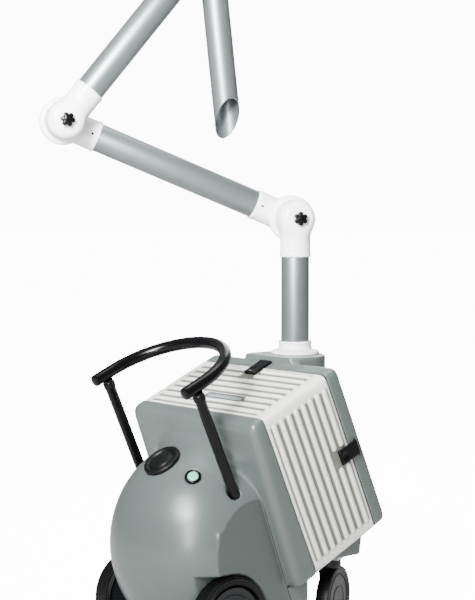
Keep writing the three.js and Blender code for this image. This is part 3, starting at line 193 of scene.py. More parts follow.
def groove_shade_group():
    tree, given, result = shader_group(
        "Painted rib groove shade", [("Height", "NodeSocketFloat", 0.0044)], [("Groove shade", "NodeSocketFloat")])
    place = tree.nodes.new("ShaderNodeTexCoord")
    turn = tree.nodes.new("ShaderNodeVectorRotate")
    turn.rotation_type = "X_AXIS"
    turn.inputs["Center"].default_value = CASING_FOOT
    turn.inputs["Angle"].default_value = -CASING_TILT
    split = tree.nodes.new("ShaderNodeSeparateXYZ")
    tree.links.new(place.outputs["Object"], turn.inputs["Vector"])
    tree.links.new(turn.outputs["Vector"], split.inputs["Vector"])
    # Painted shade: the colour darkens towards the floor of each groove between the casing's ribs.
    across = calc(tree, "ABSOLUTE", split.outputs["X"])
    rise = calc(tree, "SUBTRACT", split.outputs["Z"], CASING_FOOT[2])
    above = calc(tree, "MAXIMUM", calc(tree, "SUBTRACT", across, CASING_HALF - RIB_SINK),
                 calc(tree, "SUBTRACT", rise, CASING_HEIGHT - RIB_SINK))
    upright = calc(tree, "ABSOLUTE", calc(tree, "SUBTRACT", rise, CASING_MIDDLE))
    along = calc(tree, "MINIMUM", across, calc(tree, "ADD", upright, 0.018))
    centre = CASING_FOOT[1] + CASING_CENTRE
    middle = calc(tree, "ABSOLUTE", calc(tree, "SUBTRACT", split.outputs["Y"], centre))
    low = calc(tree, "SUBTRACT", 1.0, calc(tree, "DIVIDE", calc(tree, "MAXIMUM", above, 0.0),
                                           given.outputs["Height"]))
    inside = calc(tree, "MULTIPLY", fade(tree, along, 0.216, 0.208), fade(tree, middle, 0.108, 0.103))
    outside = fade(tree, above, -0.004, -0.001)
    mask = calc(tree, "MULTIPLY", calc(tree, "MAXIMUM", low, 0.0), calc(tree, "MULTIPLY", inside, outside))
    tree.links.new(mask, result.inputs["Groove shade"])
    return tree


SIDE_SHADE_AND_SEAM = side_shade_and_seam_group()
GROOVE_SHADE = groove_shade_group()
print("shader groups:", SIDE_SHADE_AND_SEAM.name, "and", GROOVE_SHADE.name)

# %% [markdown]
# ## Materials
# One function makes every plastic and rubber: two near colours are mixed by the handling mask, the same
# mask lifts the roughness a little, and the grain goes to the normal. A second function mixes a tone into
# the colour wherever a mask asks for it.

# %% Plastics and rubbers
def srgb(hex_text):
    values = [int(hex_text[i:i + 2], 16) / 255 for i in (0, 2, 4)]
    linear = [v / 12.92 if v <= 0.04045 else ((v + 0.055) / 1.055) ** 2.4 for v in values]
    return (*linear, 1.0)


def group_node(tree, group, **values):
    node = tree.nodes.new("ShaderNodeGroup")
    node.node_tree = group
    for label, value in values.items():
        node.inputs[label].default_value = value
    return node


def two_tone(tree, mask, first, second):
    """Mixes two colours by a mask and sends the result to the shader."""
    mix = tree.nodes.new("ShaderNodeMix")
    mix.data_type = "RGBA"
    mix.inputs["A"].default_value = srgb(first)
    mix.inputs["B"].default_value = srgb(second)
    tree.links.new(mask, mix.inputs["Factor"])
    tree.links.new(mix.outputs["Result"], tree.nodes["Principled BSDF"].inputs["Base Color"])


def moulded(name, clean, worn, rough, grain=0.05, scale=900.0, dust=0.5, coat=0.0, metal=0.0, shine=0.5):
    material = bpy.data.materials.new(name)
    material.use_nodes = True
    tree = material.node_tree
    shader = tree.nodes["Principled BSDF"]
    fine = group_node(tree, GRAIN, Scale=scale, Height=grain)
    slow = group_node(tree, HANDLING, Amount=dust)
    two_tone(tree, slow.outputs["Mask"], clean, worn)
    dulled = fade(tree, slow.outputs["Mask"], 0.0, 1.0, rough, min(rough + 0.18, 1.0))
    tree.links.new(dulled, shader.inputs["Roughness"])
    tree.links.new(fine.outputs["Normal"], shader.inputs["Normal"])
    shader.inputs["Metallic"].default_value = metal
    shader.inputs["Specular IOR Level"].default_value = shine
    shader.inputs["Coat Weight"].default_value = coat
    shader.inputs["Coat Roughness"].default_value = 0.2
    return material


def tinted(material, group, tones):
    """Mixes a tone into the colour for each mask of the group."""
    tree = material.node_tree
    colour = tree.nodes["Principled BSDF"].inputs["Base Color"]
    masks = group_node(tree, group)
    for label, tone in tones.items():
        mix = tree.nodes.new("ShaderNodeMix")
        mix.data_type = "RGBA"
        mix.inputs["B"].default_value = srgb(tone)
        tree.links.new(colour.links[0].from_socket, mix.inputs["A"])
        tree.links.new(masks.outputs[label], mix.inputs["Factor"])
        tree.links.new(mix.outputs["Result"], colour)
    return material


print("plastics and rubbers are ready")

# %% [markdown]
# ## Brushed metal for the tubes
# Drawn aluminium has fine lines along its length. The tubes will be turned, and turning leaves a map of
# angle and height on them. A noise that is stretched along that height becomes lines along the tube.

# %% Brushed metal
def brushed_group():
    tree, given, result = shader_group(
        "Drawn lines",
        [("Lines", "NodeSocketFloat", 260.0), ("Height", "NodeSocketFloat", 0.05)],
        [("Mask", "NodeSocketFloat"), ("Normal", "NodeSocketVector")])
    place = tree.nodes.new("ShaderNodeUVMap")
    place.uv_map = "around"
    split = tree.nodes.new("ShaderNodeSeparateXYZ")
    join = tree.nodes.new("ShaderNodeCombineXYZ")
    noise = tree.nodes.new("ShaderNodeTexNoise")
    noise.inputs["Scale"].default_value = 1.0
    noise.inputs["Detail"].default_value = 4.0
    bump = tree.nodes.new("ShaderNodeBump")
    bump.inputs["Distance"].default_value = 0.0004
    links = tree.links
    links.new(place.outputs["UV"], split.inputs["Vector"])
    links.new(calc(tree, "MULTIPLY", split.outputs["X"], given.outputs["Lines"]), join.inputs["X"])
    links.new(calc(tree, "MULTIPLY", split.outputs["Y"], 3.0), join.inputs["Y"])
    links.new(join.outputs["Vector"], noise.inputs["Vector"])
    links.new(noise.outputs["Fac"], bump.inputs["Height"])
    links.new(given.outputs["Height"], bump.inputs["Strength"])
    links.new(noise.outputs["Fac"], result.inputs["Mask"])
    links.new(bump.outputs["Normal"], result.inputs["Normal"])
    return tree


def drawn_metal(name, light, dark, rough):
    material = bpy.data.materials.new(name)
    material.use_nodes = True
    tree = material.node_tree
    shader = tree.nodes["Principled BSDF"]
    lines = group_node(tree, brushed_group(), Lines=300.0, Height=0.12)
    slow = group_node(tree, HANDLING, Scale=5.0, Amount=0.6)
    two_tone(tree, lines.outputs["Mask"], dark, light)
    dulled = fade(tree, slow.outputs["Mask"], 0.0, 1.0, rough, rough + 0.15)
    tree.links.new(dulled, shader.inputs["Roughness"])
    tree.links.new(lines.outputs["Normal"], shader.inputs["Normal"])
    shader.inputs["Metallic"].default_value = 0.75
    return material


print("brushed metal is ready")

# %% [markdown]
# ## The list of looks
# The names are those of the record's material slots, so every CAD node gets its material from this list.
# Only the plate's insert has a look that the record doesn't name.

# %% Looks
for plain in list(bpy.data.materials):
    bpy.data.materials.remove(plain)
LOOKS = {
    # The housing's flat sides take a darker tone here, which is painted shade. The seam is a dark joint line.
    "housing": tinted(moulded("housing", "535C5A", "5C6563", 0.32, grain=0.04, coat=0.2), SIDE_SHADE_AND_SEAM,
                      {"Side": "434C4A", "Seam": "0C0D0D"}),
    # The casing darkens between its ribs, which is painted shade in the grooves.
    "casing": tinted(moulded("casing", "F0EFE8", "E6E5DC", 0.38, grain=0.04), GROOVE_SHADE, {"Groove shade": "62625C"}),
    "white": moulded("white", "F6F8F8", "ECEEEC", 0.3, grain=0.02, coat=0.2),
    "black": moulded("black", "040405", "0B0C0D", 0.18, grain=0.015, shine=0.2),
    "rubber": moulded("rubber", "050606", "0F1111", 0.4, grain=0.1, scale=600.0, shine=0.25),
    "hub": moulded("hub", "101416", "1C2123", 0.36, grain=0.08, shine=0.3),
    "steel": moulded("steel", "B4B8BA", "9DA1A3", 0.32, grain=0.03, metal=1.0),
    "lens": moulded("lens", "78C9AC", "8FD6BC", 0.22, grain=0.05, coat=0.5),
    "filter": moulded("filter", "D9D6C6", "C4C0AE", 0.85, grain=0.3, scale=300.0),
    "carbon": moulded("carbon", "222427", "303235", 0.9, grain=0.4, scale=250.0),
    "plate": moulded("plate", "566063", "616B6E", 0.4, grain=0.03, metal=0.2),
    "insert": moulded("insert", "8E979A", "9AA2A5", 0.45, grain=0.03),
    "tube": drawn_metal("tube", "7E8485", "646A6C", 0.4),
}
slots = {entry["node"]: entry["material_slot"] for entry in frame["record"]["subparts"]}
for name, node in nodes.items():
    node.data.materials.clear()
    node.data.materials.append(LOOKS[slots[name]])
print("materials:", len(LOOKS))

# %% [markdown]
# ## Surfaces from fields
# A field gives each point its distance to a shape, negative inside. Fields can be joined and cut with a
# rounding of any size, which is how a moulding gets its fillets.
# `skin` turns a field into a mesh: it puts one corner in each grid cell that the surface crosses, then
# slides that corner along the field's slope until it lies on the surface.

# %% Fields and skins
def length(v):
    return np.sqrt((v * v).sum(-1))


def soft_min(a, b, k):
    h = np.clip(0.5 + 0.5 * (b - a) / k, 0.0, 1.0)
    return b + (a - b) * h - k * h * (1.0 - h)


def soft_max(a, b, k):
    return -soft_min(-a, -b, k)


def box_field(p, low, high, radius):
    low, high = np.array(low), np.array(high)
    q = np.abs(p - (low + high) / 2) - ((high - low) / 2 - radius)
    return length(np.maximum(q, 0.0)) + np.minimum(q.max(-1), 0.0) - radius


def rod_field(p, start, end, radius, rounding):
    start, end = np.array(start, float), np.array(end, float)
    span = length(end - start)
    axis = (end - start) / span
    along = (p - start) @ axis
    out = length(p - start - along[:, None] * axis)
    q = np.stack([out - radius + rounding, np.abs(along - span / 2) - span / 2 + rounding], -1)
    return length(np.maximum(q, 0.0)) + np.minimum(q.max(-1), 0.0) - rounding


def egg_field(p, centre, radii):
    q, radii = p - np.array(centre), np.array(radii)
    return length(q / radii) * (length(q / radii) - 1.0) / np.maximum(length(q / radii ** 2), 1e-9)


def slope(field, points, reach):
    steps = np.eye(3) * reach
    return np.stack([(field(points + s) - field(points - s)) / (2 * reach) for s in steps], -1)


def net_faces(inside, index):
    faces = []
    for axis in range(3):
        count = inside.shape[axis] - 1
        here, there = np.take(inside, range(count), axis), np.take(inside, range(1, count + 1), axis)
        b, c = [(1, 2), (2, 0), (0, 1)][axis]
        edges = np.argwhere(here != there)
        edges = edges[(edges[:, b] > 0) & (edges[:, c] > 0)]
        edges = edges[(edges[:, b] < index.shape[b]) & (edges[:, c] < index.shape[c])]
        back = np.eye(3, dtype=int)
        ring = [edges - back[b] - back[c], edges - back[c], edges, edges - back[b]]
        quads = np.stack([index[tuple(r.T)] for r in ring], -1)
        flip = there[tuple(edges.T)]
        quads[flip] = quads[flip][:, ::-1]
        faces.append(quads)
    return np.concatenate(faces)


def clean_mesh(obj, sharp=180):
    """Merges points that coincide, drops empty faces and marks the edges sharper than the angle."""
    work = bmesh.new()
    work.from_mesh(obj.data)
    bmesh.ops.remove_doubles(work, verts=work.verts, dist=1e-6)
    bmesh.ops.dissolve_degenerate(work, edges=work.edges, dist=1e-7)
    bmesh.ops.recalc_face_normals(work, faces=work.faces)
    work.to_mesh(obj.data)
    work.free()
    obj.data.shade_smooth()
    if sharp < 180:
        obj.data.set_sharp_from_angle(angle=math.radians(sharp))


def skin(name, field, low, high, step):
    low, high = np.array(low, float) - step, np.array(high, float) + step
    count = np.ceil((high - low) / step).astype(int) + 1
    axes = [low[i] + step * np.arange(count[i]) for i in range(3)]
    grid = np.stack(np.meshgrid(*axes, indexing="ij"), -1).reshape(-1, 3)
    inside = (field(grid) < 0).reshape(count)
    corners = [inside[i:count[0] - 1 + i, j:count[1] - 1 + j, k:count[2] - 1 + k].astype(int)
               for i in (0, 1) for j in (0, 1) for k in (0, 1)]
    mixed = (sum(corners) % 8) > 0
    index = np.full(mixed.shape, -1)
    index[mixed] = np.arange(mixed.sum())
    points = low + step * (np.argwhere(mixed) + 0.5)
    for _ in range(4):
        gradient = slope(field, points, step * 0.1)
        move = gradient * (field(points) / np.maximum((gradient ** 2).sum(-1), 1e-3))[:, None]
        points = points - np.clip(move, -step, step)
    obj = mesh_object(name, points, net_faces(inside, index))
    clean_mesh(obj)
    return obj


def mesh_object(name, points, faces, sharp=None):
    mesh = bpy.data.meshes.new(name)
    mesh.from_pydata([tuple(map(float, v)) for v in points], [], [tuple(map(int, f)) for f in faces])
    mesh.validate()
    mesh.shade_smooth()
    if sharp is not None:
        mesh.set_sharp_from_angle(angle=math.radians(sharp))
    obj = bpy.data.objects.new(name, mesh)
    bpy.context.scene.collection.objects.link(obj)
    return obj


def settle(obj, look, body, *replaced):
    """Paints a piece, hangs it on its body, and lets it stand for the CAD nodes named last."""
    if not obj.data.materials:
        obj.data.materials.append(LOOKS[look])
    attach(obj, body)
    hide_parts(*replaced)
    return obj


FINE = 1.0
print("skins use cells of", 4.0 * FINE, "mm on the large mouldings")

# %% [markdown]
# ## Front housing and shell
# The fan housing is an egg with two flat sides. It flows into the leaning front shell: the fillet is wide
# at the neck on top and almost closed along the sides, so its size follows the height.
# Wheel wells, the grooves of the handle posts and the pockets of the controls are cut last.

# %% Front housing and shell
LEAN = Matrix.Translation(CASING_FOOT) @ Matrix.Rotation(CASING_TILT, 4, "X")
TO_RIGHT, TO_LEFT = (Matrix.Rotation(sign * math.pi / 2, 4, "Y") for sign in (1, -1))


def into(matrix, p):
    m = np.array(matrix.inverted())
    return p @ m[:3, :3].T + m[:3, 3]


def egg_place(turn, lift):
    turn, lift = math.radians(turn), math.radians(lift)
    unit = Vector((math.cos(lift) * math.sin(turn), -math.cos(lift) * math.cos(turn), math.sin(lift)))
    point = Vector([c + u * r for c, u, r in zip(EGG_CENTRE, unit, EGG_RADII)])
    normal = Vector([u / r for u, r in zip(unit, EGG_RADII)]).normalized()
    return Matrix.Translation(point) @ Vector((0, 0, 1)).rotation_difference(normal).to_matrix().to_4x4()


BUTTON = egg_place(0, 56)
LAMP = egg_place(42.5, 46.3)


def shell_front(depth, rise):
    """The distance ahead of the shell's tapering face."""
    return (-SHELL_DEPTH + rise * math.tan(SHELL_TAPER) - depth) * math.cos(SHELL_TAPER)


def shell_field(p):
    x, depth, rise = into(LEAN, p).T
    front = shell_front(depth, rise)
    outline = soft_max(np.abs(x) - 248 * MM, np.abs(rise - CASING_MIDDLE) - 230 * MM, 26 * MM)
    return soft_max(soft_max(outline, front, 26 * MM), depth + 0.5 * MM, 2 * MM)


def housing_field(p):
    x, y, z = p.T
    egg = egg_field(p, EGG_CENTRE, EGG_RADII)
    skirt = np.maximum(np.maximum(-0.100 - y, z - EGG_CENTRE[2] - 0.06), y - 0.3)
    body = soft_max(soft_min(egg, skirt, 12 * MM), np.abs(x) - HOUSING_HALF, 2.5 * MM)
    _, depth, rise = into(LEAN, p).T
    body = np.maximum(body, -shell_front(depth, rise) - 4 * MM)
    neck = np.clip((z - 0.40) / 0.10, 0.0, 1.0)
    whole = soft_min(body, shell_field(p), 3 * MM + 62 * MM * neck * neck)
    return soft_max(whole, BELLY - z, 8 * MM)


def cut_housing(p):
    x, y, z = p.T
    d = housing_field(p)
    reach, aft, lift = WHEEL_RADIUS + 5 * MM, y - WHEEL_DEPTH, z - WHEEL_RADIUS
    ahead = np.maximum(np.maximum(-reach - aft, aft), lift - reach)
    below = np.maximum(np.abs(aft) - reach, lift)
    arch = np.minimum(np.minimum(ahead, below), np.hypot(aft, lift) - reach)
    d = soft_max(d, -np.maximum(0.167 - np.abs(x), arch), 3 * MM)
    lean = into(LEAN, p)
    side = np.stack([np.abs(lean[:, 0]), lean[:, 1], lean[:, 2]], -1)
    groove = rod_field(side, (POST_SIDE, POST_DEPTH, 0.284), (POST_SIDE, POST_DEPTH, 0.7), 16 * MM, 13 * MM)
    d = soft_max(d, -groove, 5 * MM)
    for place, radius in ((BUTTON, 51 * MM), (LAMP, 21 * MM)):
        pocket = rod_field(into(place, p), (0, 0, -7 * MM), (0, 0, 60 * MM), radius, 0.5 * MM)
        d = soft_max(d, -pocket, 2 * MM)
    return d


housing = skin("fan_housing_skin", cut_housing, (-0.255, -0.24, 0.04), (0.255, 0.21, 0.625), 4 * MM * FINE)
settle(housing, "housing", "cart", "front_housing", "front_shell")
print("front housing:", len(housing.data.polygons), "faces")

# %% [markdown]
# ## Turned pieces
# Wheels, tubes, the flange and the controls are all turned: a profile of radius and height goes round an
# axis. The mesh also gets a map of angle and height, which the brushed metal uses for its direction.

# %% Turning
def turned(name, profile, matrix, sides=96, sharp=32, closed=True):
    profile = np.array(profile, float)
    if closed:
        profile = np.concatenate([profile, profile[:1]])
    angles = np.linspace(0, 2 * np.pi, sides, endpoint=False)
    rings = len(profile)
    points = np.zeros((sides, rings, 3))
    points[..., 0] = np.cos(angles)[:, None] * profile[:, 0]
    points[..., 1] = np.sin(angles)[:, None] * profile[:, 0]
    points[..., 2] = profile[:, 1]
    faces = []
    for i in range(sides):
        j = (i + 1) % sides
        for k in range(rings - 1):
            faces.append((i * rings + k, j * rings + k, j * rings + k + 1, i * rings + k + 1))
    obj = mesh_object(name, points.reshape(-1, 3), faces)
    clean_mesh(obj, sharp)
    turn_map(obj.data)
    obj.data.transform(matrix)
    return obj


def turn_map(mesh):
    layer = mesh.uv_layers.new(name="around")
    for face in mesh.polygons:
        turns = [math.atan2(mesh.vertices[v].co.y, mesh.vertices[v].co.x) for v in face.vertices]
        wrap = max(turns) - min(turns) > math.pi
        for corner, turn in zip(face.loop_indices, turns):
            turn = turn + 2 * math.pi if wrap and turn < 0 else turn
            height = mesh.vertices[mesh.loops[corner].vertex_index].co.z
            layer.data[corner].uv = (turn / (2 * math.pi), height)


def rounded(points, radius, steps=4):
    """A profile with its corners rounded; each point is (radius, height)."""
    points = [Vector(p) for p in points]
    result = []
    for i, corner in enumerate(points):
        before, after = points[i - 1] - corner, points[(i + 1) % len(points)] - corner
        cut = min(radius, before.length * 0.45, after.length * 0.45)
        start, end = corner + before.normalized() * cut, corner + after.normalized() * cut
        for k in range(steps + 1):
            t = k / steps
            result.append((1 - t) ** 2 * start + 2 * t * (1 - t) * corner + t * t * end)
    return [tuple(p) for p in result]


def aim(point, direction):
    turn = Vector((0, 0, 1)).rotation_difference(Vector(direction).normalized())
    return Matrix.Translation(point) @ turn.to_matrix().to_4x4()


# %% [markdown]
# ## Front wheels
# The tyre has a flat tread with grooves round it and raised rings on its side wall, and the hub is a
# dished disc with two rings and a plain cap.

# %% Front wheels
def tyre_profile(radius, width, bore):
    half = width / 2
    tread = [(radius, half - 5 * MM)]
    for groove in (half - 12 * MM, 0.0, -half + 12 * MM):
        for offset, depth in ((2.2, 0), (1.2, 2.2), (-1.2, 2.2), (-2.2, 0)):
            tread.append((radius - depth * MM, groove + offset * MM))
    tread.append((radius, -half + 5 * MM))
    wall = [(radius - 1.4 * MM, half - 1.4 * MM), (radius - 5 * MM, half)]
    for ring in (9, 15):
        for offset, rise in ((0, 0), (1, 1.0), (2.4, 1.0), (3.4, 0)):
            wall.append((radius - (ring + offset) * MM, half - (1.6 - rise) * MM))
    inner = [(bore, half - 4 * MM), (bore, -half + 4 * MM)]
    far = [(r, -h) for r, h in wall]
    return list(reversed(wall)) + tread + far + inner


def hub_profile(radius, width):
    half = width / 2 - 5 * MM
    return [(0.0, half + 2 * MM), (14 * MM, half + 2 * MM), (17 * MM, half + 1 * MM),
            (18 * MM, half - 2 * MM), (30 * MM, half - 3.4 * MM), (32 * MM, half - 1.6 * MM),
            (35 * MM, half - 1.6 * MM), (37 * MM, half - 3.4 * MM), (55 * MM, half - 4.4 * MM),
            (58 * MM, half - 1.8 * MM), (66 * MM, half - 1.0 * MM), (68 * MM, half - 3 * MM),
            (radius - 2 * MM, half - 3 * MM), (radius, half - 2 * MM), (radius, -half), (0.0, -half)]


for side, sign in (("left", -1), ("right", 1)):
    place = aim((sign * WHEEL_SIDE, WHEEL_DEPTH, WHEEL_RADIUS), (sign, 0, 0))
    tyre = turned(f"tyre_{side}", tyre_profile(WHEEL_RADIUS, WHEEL_WIDTH, 0.085), place, 120)
    settle(tyre, "rubber", f"wheel_{side}", f"front_tyre_{side}")
    hub = turned(f"hub_{side}", hub_profile(0.0847, WHEEL_WIDTH), place, 96, closed=False)
    settle(hub, "hub", f"wheel_{side}", f"front_hub_{side}")
print("front wheels: two tyres and two hubs")

# %% [markdown]
# ## Rear castors
# Each castor has a wheel on one leg of a fork, so that the outer face of the wheel is a clean disc. The
# fork is a field: a crown, a bridge and the leg, joined with soft corners. The left fork is the mirror
# image of the right one.

# %% Rear castors
def castor_tyre_profile(radius, half):
    wall = [(radius - inset * MM, half - drop * MM)
            for inset, drop in ((25, 4), (24, 1), (21, 1), (20, 2.4), (15, 1.6), (13, 0), (6, 0), (1.6, 1.6))]
    tread = [(radius, half - 6 * MM), (radius, -half + 6 * MM)]
    return wall + tread + [(r, -h) for r, h in reversed(wall)]


def castor_disc_profile(radius, half):
    face = [(0.0, half - 2.6 * MM), (34 * MM, half - 2.8 * MM), (36 * MM, half - 4.4 * MM),
            (40 * MM, half - 4.4 * MM), (42 * MM, half - 2.8 * MM),
            (radius - 1 * MM, half - 2.8 * MM), (radius, half - 4.5 * MM)]
    back = [(radius, -half + 4.5 * MM), (radius - 1 * MM, -half + 3 * MM), (14 * MM, -half + 3 * MM),
            (12 * MM, -half + 1 * MM), (6.4 * MM, -half + 1 * MM), (6.4 * MM, 0.0), (0.0, 0.0)]
    return face + back


def fork_field(p):
    x, y, z = p.T
    share = np.clip((z - 90 * MM) / (98 * MM), 0.0, 1.0)
    ahead, behind = 12 * MM - 34 * MM * share, 38 * MM - 8 * MM * share
    tip = np.hypot(y - 25 * MM, z - 90 * MM) - 13 * MM
    plan = soft_min(np.maximum(np.maximum(ahead - y, y - behind), 90 * MM - z), tip, 2 * MM)
    leg = soft_max(np.maximum(plan, z - 190 * MM), np.abs(x + 22.5 * MM) - 3 * MM, 1.5 * MM)
    bridge = box_field(p, (-25.5 * MM, -22 * MM, 184 * MM), (19.5 * MM, 30 * MM, 190 * MM), 2 * MM)
    crown = rod_field(p, (0, 0, 184 * MM), (0, 0, 208.2 * MM), 30 * MM, 4 * MM)
    axle = rod_field(p, (-28 * MM, 25 * MM, 90 * MM), (-19.4 * MM, 25 * MM, 90 * MM), 9 * MM, 1.5 * MM)
    return soft_min(soft_min(soft_min(leg, bridge, 5 * MM), crown, 4 * MM), axle, 1.5 * MM)


for side, sign in (("left", -1), ("right", 1)):
    stem = Matrix.Translation((sign * 0.155, 0.315, 0)) @ Matrix.Rotation(math.radians(26), 4, "Z")
    place = stem @ aim((0, 0.025, 0.090), (sign, 0, 0))
    roller = turned(f"castor_tyre_{side}", castor_tyre_profile(90 * MM, 18 * MM), place, 96)
    settle(roller, "rubber", f"castor_roller_{side}", f"castor_wheel_{side}")
    disc = turned(f"castor_disc_{side}", castor_disc_profile(65 * MM, 18 * MM), place, 96, closed=False)
    settle(disc, "hub", f"castor_roller_{side}")
    mirror = np.array((sign, 1, 1))
    fork = skin(f"castor_fork_skin_{side}", lambda p: fork_field(p * mirror), (-0.031, -0.034, 0.07),
                (0.031, 0.042, 0.209), 2 * MM * FINE)
    fork.data.transform(stem)
    settle(fork, "hub", f"castor_{side}", f"castor_fork_{side}")
print("castors: two forks, tyres and discs")

# %% [markdown]
# ## Filter casing with ribs
# The ribs repeat, so a Geometry Nodes tree makes them: one rib goes to every point of a line. The tree's
# inputs are the number of ribs, their pitch and their material.

# %% A tree that repeats a mesh along a line
def copies_tree(name, inputs):
    """A tree that sets its mesh on points, makes the copies real and paints them."""
    tree = bpy.data.node_groups.new(name, "GeometryNodeTree")
    for label, kind in (("Geometry", "Geometry"), *inputs, ("Material", "Material")):
        tree.interface.new_socket(label, in_out="INPUT", socket_type=f"NodeSocket{kind}")
    tree.interface.new_socket("Geometry", in_out="OUTPUT", socket_type="NodeSocketGeometry")
    given, result = tree.nodes.new("NodeGroupInput"), tree.nodes.new("NodeGroupOutput")
    copies = tree.nodes.new("GeometryNodeInstanceOnPoints")
    real = tree.nodes.new("GeometryNodeRealizeInstances")
    paint = tree.nodes.new("GeometryNodeSetMaterial")
    tree.links.new(given.outputs["Geometry"], copies.inputs["Instance"])
    tree.links.new(copies.outputs["Instances"], real.inputs["Geometry"])
    tree.links.new(real.outputs["Geometry"], paint.inputs["Geometry"])
    tree.links.new(given.outputs["Material"], paint.inputs["Material"])
    tree.links.new(paint.outputs["Geometry"], result.inputs["Geometry"])
    return tree, given, copies


def row_tree():
    inputs = (("Count", "Int"), ("Start", "Vector"), ("Pitch", "Vector"))
    tree, given, copies = copies_tree("Row of copies", inputs)
    line = tree.nodes.new("GeometryNodeMeshLine")
    tree.links.new(given.outputs["Count"], line.inputs["Count"])
    tree.links.new(given.outputs["Start"], line.inputs["Start Location"])
    tree.links.new(given.outputs["Pitch"], line.inputs["Offset"])
    tree.links.new(line.outputs["Mesh"], copies.inputs["Points"])
    return tree


def keep_result(obj):
    """Replaces the object's mesh by what its modifiers make of it."""
    graph = bpy.context.evaluated_depsgraph_get()
    made = bpy.data.meshes.new_from_object(obj.evaluated_get(graph))
    obj.modifiers.clear()
    old, obj.data = obj.data, made
    bpy.data.meshes.remove(old)


def run_tree(obj, tree, **values):
    """Puts the tree on the object, sets its inputs by identifier, and keeps the result as a plain mesh."""
    modifier = obj.modifiers.new("tree", "NODES")
    modifier.node_group = tree
    for item in tree.interface.items_tree:
        if item.in_out == "INPUT" and item.name in values:
            modifier[item.identifier] = values[item.name]
    obj.update_tag()
    keep_result(obj)
    return obj


ROW = row_tree()
print("geometry tree:", ROW.name)

# %% [markdown]
# ## Ribs and casing
# One rib is a low pillow with round ends, drawn ring by ring from its outline up to its crest. The casing
# under the ribs is a skin, and the last two ribs leave room for the latches.

# %% Ribs and casing
def pillow(name, span, width, height, rings=7, ends=10):
    """A rib along x: its rings shrink from the outline to the crest."""
    points, faces = [], []
    half = span / 2 - width / 2
    for ring in range(rings + 1):
        turn = math.pi / 2 * ring / rings
        reach, rise = width / 2 * math.cos(turn), height * math.sin(turn)
        for end, sign in ((0.0, 1), (math.pi, -1)):
            for k in range(ends + 1):
                angle = end - math.pi / 2 + math.pi * k / ends
                points.append((sign * half + reach * math.cos(angle), reach * math.sin(angle), rise))
    count = 2 * (ends + 1)
    for ring in range(rings):
        for k in range(count):
            a, b = ring * count + k, ring * count + (k + 1) % count
            faces.append((a, b, b + count, a + count))
    rib = mesh_object(name, points, faces + [tuple(reversed(range(count)))])
    clean_mesh(rib, 70)
    return rib


def rib_row(name, ends, first, count, matrix):
    """Ribs from one end to the other, beginning with the rib of the given number."""
    pitch = 210 * MM / 8
    rib = pillow(name, ends[1] - ends[0], 17 * MM, 5.4 * MM)
    start = ((ends[0] + ends[1]) / 2, 11 * MM + pitch * (first + 0.5), 0)
    run_tree(rib, ROW, Count=count, Start=start, Pitch=(0, pitch, 0), Material=LOOKS["casing"])
    rib.data.transform(LEAN @ matrix)
    rib.data.shade_smooth()
    return settle(rib, "casing", "cart")


def casing_field(p):
    x, depth, rise = p.T
    outline = soft_max(np.abs(x) - CASING_HALF, np.abs(rise - CASING_MIDDLE) - CASING_MIDDLE, 20 * MM)
    inner = soft_max(np.abs(x) - 237 * MM, np.abs(rise - CASING_MIDDLE) - 219 * MM, 20 * MM)
    slab = np.maximum(np.abs(depth - CASING_CENTRE) - 113 * MM, -inner)
    return soft_max(outline, slab, 3 * MM)


casing = skin("casing_skin", casing_field, (-CASING_HALF, 0.003, 0.0), (CASING_HALF, 0.229, CASING_HEIGHT),
              4 * MM * FINE)
casing.data.transform(LEAN)
settle(casing, "casing", "cart", "filter_casing")
up = Matrix.Translation((0, 0, CASING_HEIGHT - RIB_SINK))
right = Matrix.Translation((CASING_HALF - RIB_SINK, 0, CASING_MIDDLE)) @ TO_RIGHT
left = Matrix.Translation((RIB_SINK - CASING_HALF, 0, CASING_MIDDLE)) @ TO_LEFT
for name, half, latch, matrix in (("top", 0.215, 0.0, up), ("right", 0.197, -0.008, right),
                                  ("left", 0.197, 0.008, left)):
    rib_row(f"ribs_{name}", (-half, half), 0, 6, matrix)
    rib_row(f"ribs_{name}_below_latch", (-half, latch - 0.024), 6, 2, matrix)
    rib_row(f"ribs_{name}_above_latch", (latch + 0.024, half), 6, 2, matrix)
print("casing: ribs on three sides, with room for the latches")

# %% [markdown]
# ## Rear cover and arm seat
# The cover is a shallow tray behind the casing. The arm stands on an upright block that grows out of the
# tray's back with a fillet.

# %% Rear cover
def cover_field(p):
    x, y, z = p.T
    side, depth, rise = into(LEAN, p).T
    outline = soft_max(np.abs(side) - CASING_HALF, np.abs(rise - CASING_MIDDLE) - CASING_MIDDLE, 22 * MM)
    tray = soft_max(soft_max(outline, depth - 277 * MM, 18 * MM), 232.4 * MM - depth, 2 * MM)
    q = np.stack([np.abs(x) - 5 * MM, np.abs(y - 0.2935) - 10.5 * MM], -1)
    plan = length(np.maximum(q, 0.0)) + np.minimum(q.max(-1), 0.0) - 98 * MM
    seat = soft_max(soft_max(plan, z - 0.7327, 7 * MM), 0.360 - z, 30 * MM)
    seat = soft_max(seat, 259 * MM - depth, 5 * MM)
    return soft_min(tray, seat, 16 * MM)


cover = skin("rear_cover_skin", cover_field, (-0.246, 0.19, 0.28), (0.246, 0.445, 0.735), 4.5 * MM * FINE)
settle(cover, "housing", "cart", "rear_cover")
print("rear cover:", len(cover.data.polygons), "faces")

# %% [markdown]
# ## Chassis base
# The base is the space between a few planes: the belly, the seam with the front housing, the leaning roof
# and the tail. The room in which the castors swivel is cut out of it.

